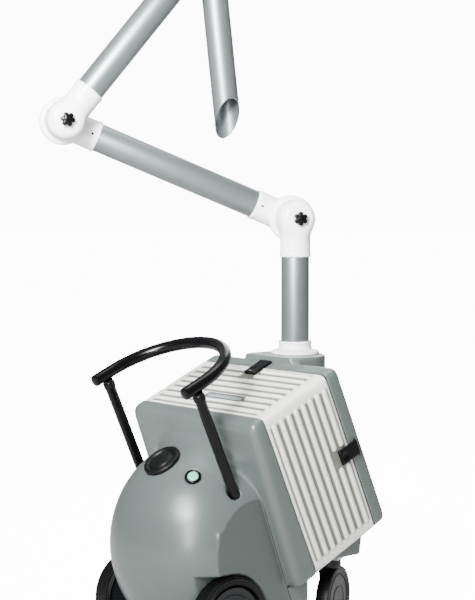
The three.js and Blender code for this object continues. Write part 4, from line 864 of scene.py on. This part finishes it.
# %% Chassis base
def base_field(p):
    x, y, z = p.T
    _, depth, rise = into(LEAN, p).T
    front = shell_front(depth, rise) + 0.8 * MM
    roof = rise + 3.4 * MM
    tail = (y - TAIL_FOOT - (z - BELLY) * math.tan(TAIL_LEAN)) * math.cos(TAIL_LEAN)
    d = soft_max(soft_max(np.abs(x) - HOUSING_HALF, tail, 14 * MM), BELLY - z, 8 * MM)
    d = soft_max(soft_max(d, front, 1.5 * MM), roof, 2 * MM)
    room = np.maximum(np.maximum(0.192 - y, z - 0.215), rise + 15.4 * MM)
    return soft_max(d, -room, 4 * MM)


base = skin("chassis_skin", base_field, (-0.206, 0.10, 0.045), (0.206, 0.395, 0.285), 4 * MM * FINE)
settle(base, "housing", "cart", "chassis_base")
print("chassis base:", len(base.data.polygons), "faces")

# %% [markdown]
# ## Controls
# The button is a dome in a dark dish, set in a black ring. The lamp is a frosted lens in a thin ring.

# %% Controls
ring = turned("button_ring", rounded([(34.4 * MM, -6.6 * MM), (50 * MM, -6.6 * MM), (50 * MM, 2 * MM),
                                      (46 * MM, 4.6 * MM), (40.5 * MM, 4.4 * MM), (35.5 * MM, 0.4 * MM),
                                      (34.4 * MM, -1 * MM)], 1.6 * MM), BUTTON, 96)
settle(ring, "rubber", "cart", "button_bezel")
dome = [(0.0, -10.6 * MM), (8 * MM, -10.6 * MM), (8 * MM, -2.2 * MM), (33.6 * MM, -2.2 * MM),
        (33.9 * MM, -0.8 * MM), (33.2 * MM, 0.2 * MM), (31.4 * MM, 0.5 * MM)]
dome += [(30.4 * MM * math.cos(t), 0.8 * MM + 8.4 * MM * math.sin(t))
         for t in np.linspace(0.05, math.pi / 2, 16)]
button = turned("button_dome", dome, BUTTON, 96, closed=False)
settle(button, "rubber", "button", "power_button")
lamp_ring = turned("lamp_ring", rounded([(14.3 * MM, -3.6 * MM), (20 * MM, -3.6 * MM), (20 * MM, 1.6 * MM),
                                         (17.8 * MM, 3.2 * MM), (14.3 * MM, 2.4 * MM)], 1 * MM), LAMP, 72)
settle(lamp_ring, "black", "cart", "lamp_bezel")
glow = [(0.0, -3.6 * MM), (14 * MM, -3.6 * MM), (14 * MM, 1.0 * MM)]
glow += [(13.6 * MM * math.cos(t), 1.4 * MM + 3.0 * MM * math.sin(t))
         for t in np.linspace(0.1, math.pi / 2, 9)]
lens = turned("lamp_glass", glow, LAMP, 72, closed=False)
settle(lens, "lens", "cart", "lamp_lens")
print("controls: ring, button, lamp ring, lens")

# %% [markdown]
# ## Push handle
# The grip is a sleeve swept along a bow, with a raised ring and a domed cap at each end. The posts are
# turned, with a collar under the grip and a rounded foot.

# %% Push handle
def bow(count=72):
    turns = np.linspace(0, np.pi, count)
    arc = np.stack([-POST_SIDE * np.cos(turns), -0.091 + POST_SIDE * np.sin(turns),
                    np.full(count, GRIP_RISE)], -1)
    stops = (-0.1528, -0.1505, -0.147, -0.143, -0.1425, -0.139, -0.1385, -0.12, -0.105)
    straight = [(-POST_SIDE, d, GRIP_RISE) for d in stops]
    far = [(POST_SIDE, d, GRIP_RISE) for d in reversed(stops)]
    return np.concatenate([straight, arc, far])


def swept(name, path, radii, sides=40):
    path = np.array(path)
    ahead = np.gradient(path, axis=0)
    ahead /= length(ahead)[:, None]
    up = np.array((0.0, 0.0, 1.0))
    across = np.cross(ahead, up)
    across /= length(across)[:, None]
    turns = np.linspace(0, 2 * np.pi, sides, endpoint=False)
    ring = across[:, None] * np.cos(turns)[:, None] + up * np.sin(turns)[:, None]
    points = (path[:, None] + ring * np.array(radii)[:, None, None]).reshape(-1, 3)
    faces = []
    for i in range(len(path) - 1):
        for k in range(sides):
            a, b = i * sides + k, i * sides + (k + 1) % sides
            faces.append((a, a + sides, b + sides, b))
    last = (len(path) - 1) * sides
    faces.append(tuple(range(sides)))
    faces.append(tuple(last + k for k in reversed(range(sides))))
    obj = mesh_object(name, points, faces)
    clean_mesh(obj, 40)
    return obj


path = bow()
radii = np.full(len(path), 15.5)
ends = [11.0, 14.6, 15.5, 15.5, 14.4, 14.4, 15.5, 15.5, 15.5]
radii[:len(ends)] = ends
radii[-len(ends):] = ends[::-1]
grip = swept("grip_sleeve", path, radii * MM)
grip.data.transform(LEAN)
settle(grip, "black", "cart", "handle_grip")
for side, sign in (("left", -1), ("right", 1)):
    profile = [(0.0, 287 * MM), (6 * MM, 287.6 * MM), (10.5 * MM, 290 * MM), (12.8 * MM, 294 * MM),
               (13.5 * MM, 299 * MM), (13.5 * MM, 560 * MM),
               (14.2 * MM, 561.5 * MM), (15.5 * MM, 562 * MM), (15.5 * MM, 575 * MM), (14.2 * MM, 576 * MM),
               (13.5 * MM, 577 * MM), (13.5 * MM, 582 * MM), (0.0, 582 * MM)]
    foot = LEAN @ Matrix.Translation((sign * POST_SIDE, POST_DEPTH, 0))
    post = turned(f"post_{side}", profile, foot, 48, closed=False)
    settle(post, "black", "cart", f"handle_post_{side}")
print("handle: grip and two posts")

# %% [markdown]
# ## Latches and plate
# Three over-centre latches hold the cover. Each lever is a field with a hook at its tip, a barrel at its
# pin and a dish for the finger. The small plate on the casing is left plain.

# %% Latches and plate
def latch_field(p):
    lever = box_field(p, (-20 * MM, 186.6 * MM, 1.6 * MM), (20 * MM, 250 * MM, 10.4 * MM), 2.4 * MM)
    barrel = rod_field(p, (-20 * MM, 250 * MM, 6 * MM), (20 * MM, 250 * MM, 6 * MM), 4.5 * MM, 1 * MM)
    pin = rod_field(p, (-25.2 * MM, 250 * MM, 6 * MM), (25.2 * MM, 250 * MM, 6 * MM), 2 * MM, 0.4 * MM)
    dish = egg_field(p, (0, 204 * MM, 13.4 * MM), (14 * MM, 12 * MM, 5 * MM))
    lip = box_field(p, (-17 * MM, 186.6 * MM, 9 * MM), (17 * MM, 190.5 * MM, 12.4 * MM), 1.4 * MM)
    body = soft_min(soft_min(lever, barrel, 1.5 * MM), lip, 2 * MM)
    return np.minimum(soft_max(body, -dish, 2 * MM), pin)


LATCH_RISE = 0.235
places = {
    "top": (Matrix.Translation((0, 0, CASING_HEIGHT)), "latch_a"),
    "right": (Matrix.Translation((CASING_HALF, 0, LATCH_RISE)) @ TO_RIGHT, "latch_b"),
    "left": (Matrix.Translation((-CASING_HALF, 0, LATCH_RISE)) @ TO_LEFT, "latch_c"),
}
for side, (place, body) in places.items():
    lever = skin(f"latch_lever_{side}", latch_field, (-0.026, 0.186, 0.0), (0.026, 0.256, 0.014),
                 1.2 * MM * FINE)
    lever.data.transform(LEAN @ place)
    settle(lever, "black", body, f"latch_{side}")


def plate_field(p):
    plate = box_field(p, (-73 * MM, -13 * MM, 0.3 * MM), (73 * MM, 13 * MM, 6.2 * MM), 1.2 * MM)
    panel = box_field(p, (-67.5 * MM, -7.5 * MM, 4 * MM), (67.5 * MM, 7.5 * MM, 9 * MM), 0.4 * MM)
    return soft_max(plate, -panel, 0.6 * MM)


def insert_field(p):
    return box_field(p, (-67 * MM, -7 * MM, 3.4 * MM), (67 * MM, 7 * MM, 4.8 * MM), 0.6 * MM)


plate = skin("plain_plate", plate_field, (-0.074, -0.014, 0), (0.074, 0.014, 0.0065), 1 * MM * FINE)
insert = skin("plate_insert", insert_field, (-0.069, -0.009, 0.003), (0.069, 0.009, 0.0055), 1 * MM * FINE)
for piece in (plate, insert):
    piece.data.transform(LEAN @ Matrix.Translation((0.032, 0.064, CASING_HEIGHT)))
settle(plate, "plate", "cart", "label_plate")
insert.data.materials.append(LOOKS["insert"])
settle(insert, "plate", "cart")
print("latches:", len(places), "and a plain plate")

# %% [markdown]
# ## Tail: grille and mains inlet
# The grille's slats are one more row of copies. The inlet is a framed recess.

# %% Tail
def frame_field(p, low, high, inner_low, inner_high, edge):
    return soft_max(box_field(p, low, high, edge), -box_field(p, inner_low, inner_high, edge), edge)


TAIL = Matrix.Translation((0, TAIL_FOOT, BELLY)) @ Matrix.Rotation(-TAIL_LEAN, 4, "X")
rise = 0.249 - BELLY
grille = skin("grille_frame", lambda p: frame_field(
    p, (-75 * MM, 0.2 * MM, -22 * MM), (75 * MM, 4.6 * MM, 22 * MM),
    (-65 * MM, -5 * MM, -14 * MM), (65 * MM, 9 * MM, 14 * MM), 1.2 * MM),
    (-0.076, 0, -0.023), (0.076, 0.005, 0.023), 1.4 * MM * FINE)
grille.data.transform(TAIL @ Matrix.Translation((0, 0, rise)))
settle(grille, "black", "cart", "exhaust_grille")
slat = skin("grille_slats", lambda p: box_field(
    p, (-66 * MM, 0.8 * MM, -0.9 * MM), (66 * MM, 4.0 * MM, 0.9 * MM), 0.6 * MM),
    (-0.067, 0, -0.002), (0.067, 0.005, 0.002), 1.2 * MM * FINE)
run_tree(slat, ROW, Count=5, Start=(0, 0, -14 * MM), Pitch=(0, 0, 7 * MM), Material=LOOKS["black"])
slat.data.transform(TAIL @ Matrix.Translation((0, 0, rise)))
slat.data.shade_smooth()
settle(slat, "black", "cart")
inlet = skin("inlet_frame", lambda p: np.minimum(frame_field(
    p, (-30 * MM, 0.2 * MM, -18 * MM), (30 * MM, 3.4 * MM, 18 * MM),
    (-22 * MM, -20 * MM, -11 * MM), (22 * MM, 9 * MM, 11 * MM), 1 * MM), frame_field(
    p, (-25 * MM, -26 * MM, -14 * MM), (25 * MM, 2 * MM, 14 * MM),
    (-22 * MM, -23 * MM, -11 * MM), (22 * MM, 9 * MM, 11 * MM), 1 * MM)),
    (-0.031, -0.027, -0.019), (0.031, 0.005, 0.019), 1.2 * MM * FINE)
inlet.data.transform(TAIL @ Matrix.Translation((-0.130, 0, rise)))
settle(inlet, "black", "cart", "power_inlet")
print("tail: grille, slats and inlet")

# %% [markdown]
# ## Arm frames
# Each joint of the arm has a frame: x is the joint's axis, towards the half it belongs to, and y runs along
# that half's tube. The same half can then be drawn once and put in six places.

# %% Arm frames
ARM = Matrix.Translation((0, 0.332, 0)) @ Matrix.Rotation(math.radians(-27.5), 4, "Z")
OFFSET = 42 * MM
LOWER_SPAN, UPPER_SPAN, SOCKET_FLOOR = 0.665, 0.631, 0.054


def joint_frame(point, angle, knob_side):
    out = Vector((1.0 if knob_side else -1.0, 0, 0))
    along = Vector((0, math.cos(angle), math.sin(angle)))
    third = out.cross(along)
    basis = Matrix((out, along, third)).transposed().to_4x4()
    return ARM @ Matrix.Translation((-OFFSET, point[0], point[1])) @ basis


def link(point, angle, span):
    return point[0] + span * math.cos(angle), point[1] + span * math.sin(angle)


LOWER, UPPER, HOOD = math.pi - math.radians(22.5), math.radians(51), -math.radians(84)
SHOULDER = (0.0, 1.095)
ELBOW = link(SHOULDER, LOWER, LOWER_SPAN)
WRIST = link(ELBOW, UPPER, UPPER_SPAN)
FRAMES = {
    "shoulder_front": joint_frame(SHOULDER, -math.pi / 2, True),
    "shoulder_rear": joint_frame(SHOULDER, LOWER, False),
    "elbow_rear": joint_frame(ELBOW, LOWER + math.pi, False),
    "elbow_front": joint_frame(ELBOW, UPPER, True),
    "wrist_front": joint_frame(WRIST, UPPER + math.pi, True),
    "wrist_rear": joint_frame(WRIST, HOOD, False),
}
BODIES = {"shoulder_front": "column", "shoulder_rear": "lower_arm", "elbow_rear": "lower_arm",
          "elbow_front": "upper_arm", "wrist_front": "upper_arm", "wrist_rear": "wrist"}
ALONG_Y = Matrix.Rotation(-math.pi / 2, 4, "X")
IN_SOCKET = Matrix.Translation((OFFSET, 0, 0)) @ ALONG_Y
print("arm frames:", ", ".join(FRAMES))

# %% [markdown]
# ## Joint halves
# A half is a drum with a wide rim at the friction disc and a rounded crown, from which the socket grows
# with a fillet. A boolean bores the socket, because its wall is thinner than the field's cells.

# %% Joint halves
def half_field(p):
    drum = rod_field(p, (-40 * MM, 0, 0), (86.2 * MM, 0, 0), 49 * MM, 24 * MM)
    rim = rod_field(p, (-20 * MM, 0, 0), (10 * MM, 0, 0), 62 * MM, 4 * MM)
    socket = rod_field(p, (OFFSET, 0, 0), (OFFSET, 102 * MM, 0), 40.3 * MM, 1.4 * MM)
    band = rod_field(p, (OFFSET, 92 * MM, 0), (OFFSET, 102 * MM, 0), 41.4 * MM, 1.6 * MM)
    d = soft_min(soft_min(drum, socket, 16 * MM), rim, 9 * MM)
    d = soft_min(d, band, 1.5 * MM)
    return soft_max(d, 1.4 * MM - p[:, 0], 1.5 * MM)


def bored(obj, cutters):
    for cutter in cutters:
        modifier = obj.modifiers.new("bore", "BOOLEAN")
        modifier.operation = "DIFFERENCE"
        modifier.solver = "EXACT"
        modifier.object = cutter
    keep_result(obj)
    for cutter in cutters:
        bpy.data.objects.remove(cutter)
    obj.data.shade_smooth()
    obj.data.set_sharp_from_angle(angle=math.radians(40))
    return obj


def plug(radius, start, end, matrix):
    profile = [(0.0, start), (radius, start), (radius, end), (0.0, end)]
    return turned("plug", profile, matrix, 96, closed=False)


pattern = skin("half_pattern", half_field, (0, -0.064, -0.064), (0.088, 0.104, 0.064), 2.47 * MM * FINE)
for name, place in FRAMES.items():
    half = bpy.data.objects.new(f"{name}_shell", pattern.data.copy())
    bpy.context.scene.collection.objects.link(half)
    radius = 36.3 * MM if name == "wrist_rear" else 37.8 * MM
    bored(half, [plug(radius, SOCKET_FLOOR, 110 * MM, IN_SOCKET), plug(5.3 * MM, -5 * MM, 95 * MM, TO_RIGHT)])
    half.data.transform(place)
    settle(half, "white", BODIES[name], f"{name}_half")
bpy.data.objects.remove(pattern)
print("joint halves:", len(FRAMES))

# %% [markdown]
# ## Tubes, collar and hood
# The tubes are turned pipes. The hood's end is cut on a slant: each angle of the pipe simply ends where it
# meets the slanting plane.

# %% Tubes, collar and hood
def pipe_profile(outer, wall, start, end):
    return rounded([(outer - wall, start), (outer, start), (outer, end), (outer - wall, end)], 0.5 * MM, 2)


def tube(name, start, end, matrix, body, node, radius=37.5 * MM):
    obj = turned(name, pipe_profile(radius, 2 * MM, start, end), matrix, 96)
    return settle(obj, "tube", body, node)


tube("column_pipe", 0.703, 1.041, ARM, "column", "column_tube")
tube("lower_pipe", SOCKET_FLOOR, LOWER_SPAN - SOCKET_FLOOR, FRAMES["shoulder_rear"] @ IN_SOCKET,
     "lower_arm", "lower_arm_tube")
tube("upper_pipe", SOCKET_FLOOR, UPPER_SPAN - SOCKET_FLOOR, FRAMES["elbow_front"] @ IN_SOCKET,
     "upper_arm", "upper_arm_tube")

flange = [(38.3 * MM, 0.7333), (65 * MM, 0.7333), (65 * MM, 0.7395), (61 * MM, 0.7423), (48 * MM, 0.7445),
          (44.5 * MM, 0.749), (43.2 * MM, 0.760), (44.6 * MM, 0.762), (44.6 * MM, 0.7673),
          (38.3 * MM, 0.7673)]
collar = turned("collar_flange", rounded(flange, 1.6 * MM), ARM, 96)
settle(collar, "white", "cart", "arm_collar")


def hood_pipe():
    sides, outer, wall = 144, 35.5 * MM, 2 * MM
    cut, face = math.radians(56), math.radians(74)
    out = np.array((-math.sin(face) * math.sin(cut), math.cos(cut), -math.cos(face) * math.sin(cut)))
    points, faces = [], []
    heights = np.linspace(0.0, 1.0, 24)
    for k in range(sides):
        turn = 2 * math.pi * k / sides
        column = []
        for radius in (outer, outer - wall):
            x, z = radius * math.cos(turn), radius * math.sin(turn)
            end = 0.478 - (x * out[0] + z * out[2]) / out[1]
            steps = [(OFFSET + x, SOCKET_FLOOR + (end - SOCKET_FLOOR) * h, z) for h in heights]
            column += steps if radius == outer else steps[::-1]
        points += column
    rings = 2 * len(heights)
    for k in range(sides):
        j = (k + 1) % sides
        for i in range(rings):
            n = (i + 1) % rings
            faces.append((k * rings + i, k * rings + n, j * rings + n, j * rings + i))
    obj = mesh_object("hood_pipe", points, faces)
    clean_mesh(obj, 32)
    obj.data.transform(IN_SOCKET.inverted())
    turn_map(obj.data)
    obj.data.transform(FRAMES["wrist_rear"] @ IN_SOCKET)
    return settle(obj, "tube", "hood", "hood_tube")


hood_pipe()
print("tubes: column, lower, upper and hood")

# %% [markdown]
# ## Joint hardware
# A friction disc shows as a dark line between the halves. A bolt with a six-sided head runs through, and a
# knob with six lobes clamps it. The knob at the wrist also has a long wing.

# %% Joint hardware
def knob_field(p):
    x, y, z = p.T
    out = np.hypot(y, z)
    spots = [np.hypot(y - 12.8 * MM * math.cos(k * math.pi / 3), z - 12.8 * MM * math.sin(k * math.pi / 3))
             for k in range(6)]
    lobes = soft_min(np.min(spots, axis=0) - 6.2 * MM, out - 10.5 * MM, 3 * MM)
    crown = x - 20 * MM + 90.0 * out ** 2 * 0.1
    star = soft_max(soft_max(lobes, crown, 3 * MM), 5 * MM - x, 2 * MM)
    neck = rod_field(p, (0.3 * MM, 0, 0), (8 * MM, 0, 0), 10.5 * MM, 0.5 * MM)
    cap = rod_field(p, (10 * MM, 0, 0), (20.2 * MM, 0, 0), 7 * MM, 1 * MM)
    return soft_min(soft_min(star, neck, 2 * MM), cap, 1 * MM)


def wing_field(p):
    x, y, z = p.T
    blade = np.maximum(length(np.stack([np.maximum(np.abs(y) - 30.5 * MM, 0.0), z], -1)) - 8.5 * MM,
                       np.abs(x - 2.3 * MM) - 1.9 * MM)
    return soft_max(blade, np.abs(x - 2.3 * MM) - 1.9 * MM, 1.2 * MM)


def hex_bolt(name, matrix):
    rings = [(-91.5, 8.2), (-90.6, 9.0), (-86.6, 9.0), (-86.6, 0.1)]
    points = [(x * MM, r * MM * math.cos(k * math.pi / 3), r * MM * math.sin(k * math.pi / 3))
              for x, r in rings for k in range(6)]
    faces = [(i * 6 + k, i * 6 + (k + 1) % 6, (i + 1) * 6 + (k + 1) % 6, (i + 1) * 6 + k)
             for i in range(len(rings) - 1) for k in range(6)]
    obj = mesh_object(name, points, faces + [tuple(range(6)), tuple(range(18, 24))])
    clean_mesh(obj, 25)
    obj.data.transform(matrix)
    return obj


TOP = 86.4 * MM
for name, frame_name, body, knob_body in (("shoulder", "shoulder_front", "column", "knob_shoulder"),
                                          ("elbow", "elbow_front", "upper_arm", "knob_elbow"),
                                          ("wrist", "wrist_front", "upper_arm", "knob_wrist")):
    place = FRAMES[frame_name]
    disc = turned(f"{name}_friction_disc", rounded([(37 * MM, -1 * MM), (59 * MM, -1 * MM), (59 * MM, 1 * MM),
                                                    (37 * MM, 1 * MM)], 0.4 * MM, 2), place @ TO_RIGHT, 96)
    settle(disc, "black", body, f"{name}_disc")
    settle(hex_bolt(f"{name}_bolt_head", place), "steel", body, f"{name}_bolt")
    winged = name == "wrist"
    lift = Matrix.Translation((TOP + (3 * MM if winged else 0.0), 0, 0))
    knob = skin(f"{name}_star", knob_field, (0, -0.0203, -0.0203), (0.021, 0.0203, 0.0203), 0.83 * MM * FINE)
    knob.data.transform(place @ lift)
    settle(knob, "black", knob_body, f"{name}_knob")
    if winged:
        wing = skin("wrist_wing", wing_field, (0, -0.04, -0.01), (0.005, 0.04, 0.01), 0.9 * MM * FINE)
        wing.data.transform(place @ Matrix.Translation((TOP, 0, 0)))
        settle(wing, "black", knob_body)
print("hardware: three discs, bolts and knobs")

# %% [markdown]
# ## Screws
# The last repeated pieces are small: a thumb screw with a ribbed head locks each tube in its socket at the
# wrist. Its ribs are copies round a circle, which a second tree makes.

# %% Thumb screws
def circle_tree():
    tree, given, copies = copies_tree("Copies round a circle", (("Count", "Int"), ("Radius", "Float")))
    circle = tree.nodes.new("GeometryNodeMeshCircle")
    place = tree.nodes.new("GeometryNodeInputPosition")
    turn = tree.nodes.new("FunctionNodeAlignRotationToVector")
    turn.axis = "X"
    tree.links.new(given.outputs["Count"], circle.inputs["Vertices"])
    tree.links.new(given.outputs["Radius"], circle.inputs["Radius"])
    tree.links.new(circle.outputs["Mesh"], copies.inputs["Points"])
    tree.links.new(place.outputs["Position"], turn.inputs["Vector"])
    tree.links.new(turn.outputs["Rotation"], copies.inputs["Rotation"])
    return tree


def bar_field(p):
    return box_field(p, (-0.8 * MM, -0.7 * MM, 42.6 * MM), (0.8 * MM, 0.7 * MM, 47.8 * MM), 0.5 * MM)


CIRCLE = circle_tree()
for name, frame_name, body, bore in (("upper", "wrist_front", "screw_upper", 38.0),
                                     ("hood", "wrist_rear", "screw_hood", 36.5)):
    place = FRAMES[frame_name] @ Matrix.Translation((OFFSET, 84 * MM, 0))
    head = [(0.0, bore * MM), (3 * MM, bore * MM), (3 * MM, 41.9 * MM), (6.4 * MM, 41.9 * MM),
            (7.2 * MM, 42.8 * MM), (7.2 * MM, 47.6 * MM), (6.2 * MM, 48.4 * MM),
            (2.4 * MM, 48.6 * MM), (0.0, 48.0 * MM)]
    screw = turned(f"{name}_screw", head, place, 36, closed=False)
    settle(screw, "black", body, f"{name}_thumb_screw")
    rib = skin(f"{name}_screw_ribs", bar_field, (-0.001, -0.001, 0.042), (0.001, 0.001, 0.0482), 0.7 * MM)
    run_tree(rib, CIRCLE, Count=16, Radius=7.2 * MM, Material=LOOKS["black"])
    rib.data.transform(place)
    rib.data.shade_smooth()
    settle(rib, "black", body)
print("thumb screws: two")

# %% [markdown]
# A small set screw with a socket in its head shows on the side of two other sockets.

# %% Set screws
for frame_name, along in (("shoulder_rear", 86 * MM), ("elbow_rear", 83 * MM)):
    place = FRAMES[frame_name] @ Matrix.Translation((OFFSET, along, 0)) @ TO_LEFT
    head = [(0.0, 39.6 * MM), (3.4 * MM, 39.6 * MM), (3.4 * MM, 41.4 * MM), (2.6 * MM, 42.2 * MM),
            (1.6 * MM, 42.2 * MM), (1.3 * MM, 41.0 * MM), (0.0, 41.0 * MM)]
    settle(turned(f"{frame_name}_set_screw", head, place, 32, closed=False), "black", BODIES[frame_name])
print("set screws: two")

# %% [markdown]
# ## Stage, light and camera
# A pale floor, a bright even world and five soft area lamps make a studio. The camera stands to the
# front right of the cart, a little above the handle's height.

# %% Stage, light and camera
def area_light(name, place, target, width, height, power, spread=180):
    data = bpy.data.lights.new(name, "AREA")
    data.shape = "RECTANGLE"
    data.size, data.size_y = width, height
    data.energy = power
    data.spread = math.radians(spread)
    lamp = bpy.data.objects.new(name, data)
    bpy.context.scene.collection.objects.link(lamp)
    lamp.location = place
    lamp.rotation_euler = (Vector(target) - Vector(place)).to_track_quat("-Z", "Y").to_euler()
    return lamp


def glow_for_camera(tree, dim, bright):
    """A strength that is bright in the picture and dim as a light."""
    path = tree.nodes.new("ShaderNodeLightPath")
    strength = tree.nodes.new("ShaderNodeMapRange")
    strength.inputs["To Min"].default_value = dim
    strength.inputs["To Max"].default_value = bright
    tree.links.new(path.outputs["Is Camera Ray"], strength.inputs["Value"])
    return strength.outputs["Result"]


def studio():
    floor_mesh = bpy.data.meshes.new("floor")
    reach = 60.0
    corners = [(-reach, -reach, 0), (reach, -reach, 0), (reach, reach, 0), (-reach, reach, 0)]
    floor_mesh.from_pydata(corners, [], [(0, 1, 2, 3)])
    floor = bpy.data.objects.new("floor", floor_mesh)
    bpy.context.scene.collection.objects.link(floor)
    paper = moulded("floor", "F2F2F0", "EDEDEA", 0.7, grain=0.0, dust=0.3)
    shader = paper.node_tree.nodes["Principled BSDF"]
    shader.inputs["Emission Color"].default_value = (1.0, 1.0, 1.0, 1.0)
    paper.node_tree.links.new(glow_for_camera(paper.node_tree, 0.0, 13.0), shader.inputs["Emission Strength"])
    floor_mesh.materials.append(paper)
    world = bpy.data.worlds.new("studio")
    world.use_nodes = True
    sky = world.node_tree.nodes["Background"]
    sky.inputs["Color"].default_value = (1.0, 1.0, 1.0, 1.0)
    world.node_tree.links.new(glow_for_camera(world.node_tree, 0.34, 12.0), sky.inputs["Strength"])
    bpy.context.scene.world = world
    area_light("key", (1.56, -3.34, 3.4), (0, 0, 0.8), 1.6, 1.6, 260)
    area_light("strip", (2.0, -2.7, 1.0), (0, 0, 0.45), 0.3, 1.3, 72)
    area_light("arm", (1.5, -2.5, 2.3), (-0.1, 0.05, 1.65), 0.8, 0.8, 62, spread=50)
    area_light("top", (-0.3, 0.8, 4.2), (0, 0.2, 0.9), 2.0, 2.0, 80)
    area_light("back", (-2.2, 3.0, 2.4), (0, 0.2, 0.7), 2.0, 2.0, 60)


def photo_camera():
    data = bpy.data.cameras.new("camera")
    data.lens = 96.0
    data.sensor_width = 36.0
    data.clip_end = 60.0
    camera = bpy.data.objects.new("camera", data)
    bpy.context.scene.collection.objects.link(camera)
    camera.location = (3.1572, -2.5677, 1.1417)
    camera.rotation_euler = (math.radians(86.46), 0.0, math.radians(49.50))
    bpy.context.scene.camera = camera


studio()
photo_camera()
print("studio and camera are ready")
